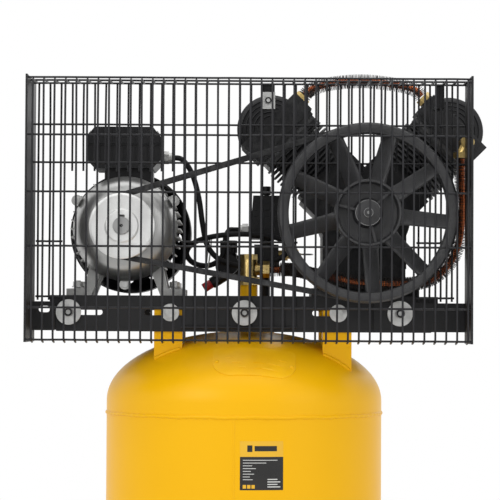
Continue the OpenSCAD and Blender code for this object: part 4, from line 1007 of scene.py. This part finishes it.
def make_rating_plate():
    """Embossed plate on the upper head: raised blank fields and two rivets."""
    soften("rating_plate", M["plate_yellow"], 0.0003)
    bm = bmesh.new()
    for y, spans in PLATE_ROWS:
        for x0, x1 in spans:
            dome_patch(bm, x0, x1, y - 0.9, y + 0.9, 1.2, 1.75)
    for x in PLATE_RIVETS:
        top = dome_height(x, PLATE_MIDDLE)
        way = Vector((x / 4, PLATE_MIDDLE / 4, top - HEAD_TOP)).normalized()
        add_lathe(bm, at(x, PLATE_MIDDLE, top), way, [
            (0.0028, 0.001), (0.0028, 0.0022), (0.002, 0.0029), (0.0, 0.0031)], 20, False)
    new_object("plate_relief", bm, M["plate_yellow"], "root", smooth=40)


GAUGES = ((32, 79, 1056), (-24, 77, 1048))
GAUGE_R = 0.018


def make_dials():
    """Pale faces and black ticks for both gauges, and their glass rims."""
    way = Vector((0, 1, 0))
    for name, place in zip(("tank_dial", "line_dial"), GAUGES):
        centre = at(*place)
        bm = bmesh.new()
        face = GAUGE_R - 0.0002
        add_lathe(bm, centre, way, [
            (0.0016, 0.0144), (face, 0.0144), (face, 0.0147), (0.0016, 0.0147)], 64)
        new_object(name, bm, M["white"], "root", smooth=40)
        bm = bmesh.new()
        for k in range(28):
            a = math.radians(-135 + 10 * k)
            first = 0.0118 if k % 3 == 0 else 0.0136
            half = 0.0004 if k % 3 == 0 else 0.0002
            turn = Matrix.Translation(centre + way * 0.0147) @ Matrix.Rotation(a, 4, "Y")
            add_box(bm, (-half, 0, first), (half, 0.00015, 0.0160), turn)
        new_object(name + "_ticks", bm, M["film"], "root", smooth=30)
        bm = bmesh.new()
        add_lathe(bm, centre, way, [
            (GAUGE_R, 0.0232), (GAUGE_R + 0.0008, 0.0242), (GAUGE_R + 0.0020, 0.0242),
            (GAUGE_R + 0.0023, 0.0236), (GAUGE_R + 0.0023, 0.0202), (GAUGE_R + 0.0018, 0.0198)], 64)
        new_object(name + "_rim", bm, M["steel"], "root", smooth=40)


FILTER_Z = 1248.9
FILTERS = ((38.6, 40), (304.4, 64))


def make_filter_rings():
    """Ribs on the front face and round the wall of both intake filters."""
    bm = bmesh.new()
    for x, back in FILTERS:
        centre = at(x, back, FILTER_Z)
        for r in (0.014, 0.020, 0.026, 0.032, 0.038, 0.044):
            add_lathe(bm, centre, Vector((0, -1, 0)), [
                (r - 0.0011, -0.0004), (r - 0.0008, 0.0014), (r, 0.0018), (r + 0.0008, 0.0014),
                (r + 0.0011, -0.0004)], 72)
        for k in range(24):
            a = 2 * math.pi * k / 24
            turn = Matrix.Translation(centre) @ Matrix.Rotation(a, 4, "Y")
            add_box(bm, (-0.0012, 0.023, 0.0500), (0.0012, 0.038, 0.0508), turn)
    new_object("filter_ribs", bm, M["plastic"], "root", smooth=40)


def make_shaft_end():
    """Washer and nut that hold the flywheel on the crankshaft."""
    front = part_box("crankshaft")[0].y
    centre = Vector((FLY.x, front, FLY.z))
    bm = bmesh.new()
    add_lathe(bm, centre, Vector((0, 1, 0)), [
        (0.0, 0.0006), (0.0015, 0.0002), (0.0025, -0.0001), (0.0058, -0.0001), (0.0066, 0.0006),
        (0.0067, 0.0036), (0.0072, 0.0038), (0.0172, 0.0038), (0.0182, 0.0046), (0.0183, 0.0068)],
        48, False)
    new_object("shaft_end_cap", bm, M["iron"], "flywheel", smooth=40)


BOX_X = -175.5
BOX_FRONT = -48
SEAM_Z = 1218.6
# Ridges beside the seam: their lower and upper edges above it.
SEAM_RIDGES = ((-1.6, -0.2), (0.5, 1.9))


def make_box_details():
    """Ribs, screws and the seam of the motor's terminal box, and ribs of the pressure switch."""
    bm = bmesh.new()
    for k in range(11):
        x = BOX_X - 43 + 8.6 * k
        add_box(bm, at(x - 0.7, BOX_FRONT - 0.9, 1190), at(x + 0.7, BOX_FRONT + 0.4, SEAM_Z - 3))
    for k in range(8):
        x = BOX_X - 39 + 11.1 * k
        add_box(bm, at(x - 0.6, BOX_FRONT - 0.7, SEAM_Z + 4), at(x + 0.6, BOX_FRONT + 0.4, 1239))
    for low, high in SEAM_RIDGES:
        add_box(bm, at(BOX_X - 54, BOX_FRONT - 1.5, SEAM_Z + low),
                at(BOX_X + 54, BOX_FRONT + 0.6, SEAM_Z + high))
    low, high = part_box("pressure_switch")
    for k in range(6):
        z = low.z + 0.012 + 0.0095 * k
        add_box(bm, (low.x + 0.006, low.y - 0.0006, z),
                (high.x - 0.006, low.y + 0.0004, z + 0.0012))
    piece = new_object("box_ribs", bm, M["plastic"], "root", smooth=30)
    add_bevel(piece, 0.0003, 1)
    bm = bmesh.new()
    for x in (-46, 46):
        for y in (BOX_FRONT + 7, 55):
            add_lathe(bm, at(BOX_X + x, y, 1236), Vector((0, 0, 1)), [
                (0.0, 0.0016), (0.0008, 0.0016), (0.0009, 0.0024), (0.0028, 0.0026),
                (0.0036, 0.0018), (0.0036, -0.001)], 24, False)
    new_object("box_screws", bm, M["zinc"], "root", smooth=40)


# The big washers: place along X and how far each stands out in front of the deck.
CLAMPS = ((-249, 3.2), (0, 3.2), (220, 6.2))
BOLT_Z = 976
DECK_FRONT = -100


def make_socket_screws():
    """Black socket heads on the three big washers and on the guard's upper strap."""
    bm = bmesh.new()
    for x, out in CLAMPS:
        add_lathe(bm, at(x, DECK_FRONT - out - 2.4, BOLT_Z), Vector((0, -1, 0)), [
            (0.0, 0.002), (0.0030, 0.002), (0.0032, 0.0061), (0.0058, 0.0063), (0.0067, 0.0056),
            (0.0067, 0.0)], 32, False)
    add_lathe(bm, at(32, DECK_FRONT - 8.2, 1277), Vector((0, -1, 0)), [
        (0.0, 0.001), (0.0024, 0.001), (0.0026, 0.0041), (0.0045, 0.0043), (0.0051, 0.0036),
        (0.0051, 0.0)], 32, False)
    new_object("socket_screws", bm, M["black"], "root", smooth=40)


def make_pulley_face():
    """Turned rings on the motor pulley's front, and a black cone as painted shade in the shaft's
    centre hole.
    """
    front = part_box("motor_pulley")[0].y
    centre = Vector((PULLEY.x, front + 0.003, PULLEY.z))
    inner, outer, rings = 0.0245, 0.0425, 16
    profile = [(inner, 0.0006)]
    for k in range(rings):
        r = inner + (outer - inner) * k / rings
        profile.append((r + 0.0001, -0.00012))
        profile.append((r + 0.0009, -0.00012))
        profile.append((r + 0.0010, 0.0))
    profile.append((0.0427, 0.0006))
    bm = bmesh.new()
    add_lathe(bm, centre, Vector((0, 1, 0)), profile, 96)
    new_object("pulley_rings", bm, M["turned"], "rotor", smooth=20)
    # A black cone in the shaft's centre hole: painted shade in the hole, not the steel's own
    # colour.
    bm = bmesh.new()
    add_lathe(bm, Vector((PULLEY.x, front, PULLEY.z)), Vector((0, -1, 0)), [
        (0.0, -0.003), (0.0018, -0.0012), (0.0022, 0.0001), (0.0030, 0.00012)], 24, False)
    new_object("shaft_hole_shade", bm, M["film"], "rotor", smooth=30)


def make_wheel_trim():
    """Pale hub discs and tread ribs of both wheels."""
    for side, body in ((-1, "wheel_left"), (1, "wheel_right")):
        centre = at(side * 168, 205, 90)
        bm = bmesh.new()
        for face in (-1, 1):
            add_lathe(bm, centre, Vector((face, 0, 0)), [
                (0.0110, 0.0175), (0.0235, 0.0182), (0.0240, 0.0176), (0.0243, 0.0064),
                (0.0310, 0.0062), (0.0310, 0.0058), (0.0110, 0.0058)], 72)
            add_lathe(bm, centre, Vector((face, 0, 0)), [
                (0.0515, 0.0062), (0.0578, 0.0064), (0.0636, 0.0154), (0.0700, 0.0156),
                (0.0706, 0.0148), (0.0706, 0.0140), (0.0640, 0.0138), (0.0582, 0.0056),
                (0.0515, 0.0056)], 72)
        new_object(body + "_hub", bm, M["zinc"], body, smooth=40)
        bm = bmesh.new()
        for k in range(40):
            turn = Matrix.Translation(centre) @ Matrix.Rotation(2 * math.pi * k / 40, 4, "X")
            add_box(bm, (-0.011, -0.0018, 0.0885), (0.011, 0.0018, 0.0898), turn)
        new_object(body + "_tread", bm, M["rubber"], body, smooth=30)


def make_small_plastic():
    """The cock's red end cap and the pale tie round the slack lead."""
    slope = math.radians(32)
    way = Vector((-math.cos(slope), 0, -math.sin(slope)))
    root = at(-20, 50, 1038)
    bm = bmesh.new()
    add_lathe(bm, root, way, [
        (0.0066, 0.0342), (0.0068, 0.0345), (0.0068, 0.0472), (0.0060, 0.0479), (0.0, 0.0479)],
        40, False)
    new_object("cock_cap", bm, M["red"], "root", smooth=40)
    bm = bmesh.new()
    centre = at(-53, 26, 1064)
    pts = [centre + Vector((0.0035 * math.cos(a), 0.014 * math.sin(a), 0.026 * math.sin(a + 0.9)))
           for a in [2 * math.pi * k / 40 for k in range(41)]]
    add_tube(bm, pts, 0.0011, 8)
    new_object("lead_tie", bm, M["clear"], "root", smooth=50)


# ---------- build ----------

make_camera()
make_lights()
make_floor()
make_tank()
make_welds()
make_label()
make_rating_plate()
make_guard()
make_flywheel()
make_belt()
make_finned_tube("cooler", "intercooler", COOLER_POINTS, SEED + 2)
make_finned_tube("delivery", "discharge_tube", DELIVERY_POINTS, SEED + 3)
make_lead()
make_dials()
make_filter_rings()
make_shaft_end()
make_box_details()
make_socket_screws()
make_pulley_face()
make_wheel_trim()
make_small_plastic()

# CAD nodes that only get softer edges: node, finish, bevel width and slot.
SOFT = (
    ("tank_brackets", "yellow", 0.0010, "tank_paint"),
    ("stand_legs", "yellow", 0.0015, "tank_paint"),
    ("rubber_feet", "rubber", 0.0020, "rubber"),
    ("wheel_forks", "yellow", 0.0010, "tank_paint"),
    ("push_handle", "black", 0.0010, "black_paint"),
    ("handle_grips", "rubber", 0.0012, "rubber"),
    ("drain_cock", "brass", 0.0005, "brass"),
    ("drain_handle", "zinc", 0.0006, "zinc_steel"),
    ("platform", "black", 0.0008, "black_paint"),
    ("mounting_bolts", "zinc", 0.0006, "zinc_steel"),
    ("guard_side_strips", "black", 0.0004, "black_paint"),
    ("guard_brackets", "black", 0.0005, "black_paint"),
    ("motor_stator", "cast_alu", 0.0006, "aluminium"),
    ("motor_windings", "enamel", 0.0010, "copper"),
    ("motor_front_bell", "alu", 0.0007, "aluminium"),
    ("motor_rear_bell", "cast_alu", 0.0007, "aluminium"),
    ("motor_fan_cover", "black", 0.0010, "black_paint"),
    ("motor_fan", "plastic", 0.0008, "black_plastic"),
    ("motor_shaft", "steel", 0.0006, "steel"),
    ("bearings", "steel", 0.0005, "steel"),
    ("terminal_box", "plastic", 0.0012, "black_plastic"),
    ("terminal_box_lid", "plastic", 0.0012, "black_plastic"),
    ("cable_glands", "zinc", 0.0006, "zinc_steel"),
    ("motor_bolts", "zinc", 0.0005, "zinc_steel"),
    ("motor_pulley", "turned", 0.0006, "steel"),
    ("crankcase", "iron_dark", 0.0018, "cast_iron"),
    ("crankcase_covers", "iron_dark", 0.0012, "cast_iron"),
    ("crankshaft", "steel", 0.0007, "steel"),
    ("connecting_rods", "cast_alu", 0.0008, "aluminium"),
    ("pistons", "alu", 0.0005, "aluminium"),
    ("cylinders", "iron_dark", 0.0008, "cast_iron"),
    ("valve_plates", "iron", 0.0004, "steel"),
    ("cylinder_heads", "iron_dark", 0.0012, "cast_iron"),
    ("air_filters", "plastic", 0.0012, "black_plastic"),
    ("tube_fittings", "brass", 0.0006, "brass"),
    ("pressure_switch", "plastic", 0.0016, "black_plastic"),
    ("switch_knob", "plastic", 0.0008, "red_plastic"),
    ("regulator", "plastic", 0.0008, "black_plastic"),
    ("regulator_knob", "plastic", 0.0008, "black_plastic"),
    ("gauges", "plastic", 0.0006, "gauge_case"),
    ("tank_needle", "red", 0.0, "red_plastic"),
    ("line_needle", "red", 0.0, "red_plastic"),
    ("safety_valve", "brass", 0.0006, "brass"),
    ("safety_ring", "steel", 0.0004, "zinc_steel"),
    ("outlet_cock", "plastic", 0.0008, "black_plastic"),
    ("cock_lever", "red", 0.0008, "red_plastic"),
    ("wheel_left", "rubber", 0.0015, "rubber"),
    ("wheel_right", "rubber", 0.0015, "rubber"),
)

for node, material, width, slot_name in SOFT:
    soften(node, M[material], width)
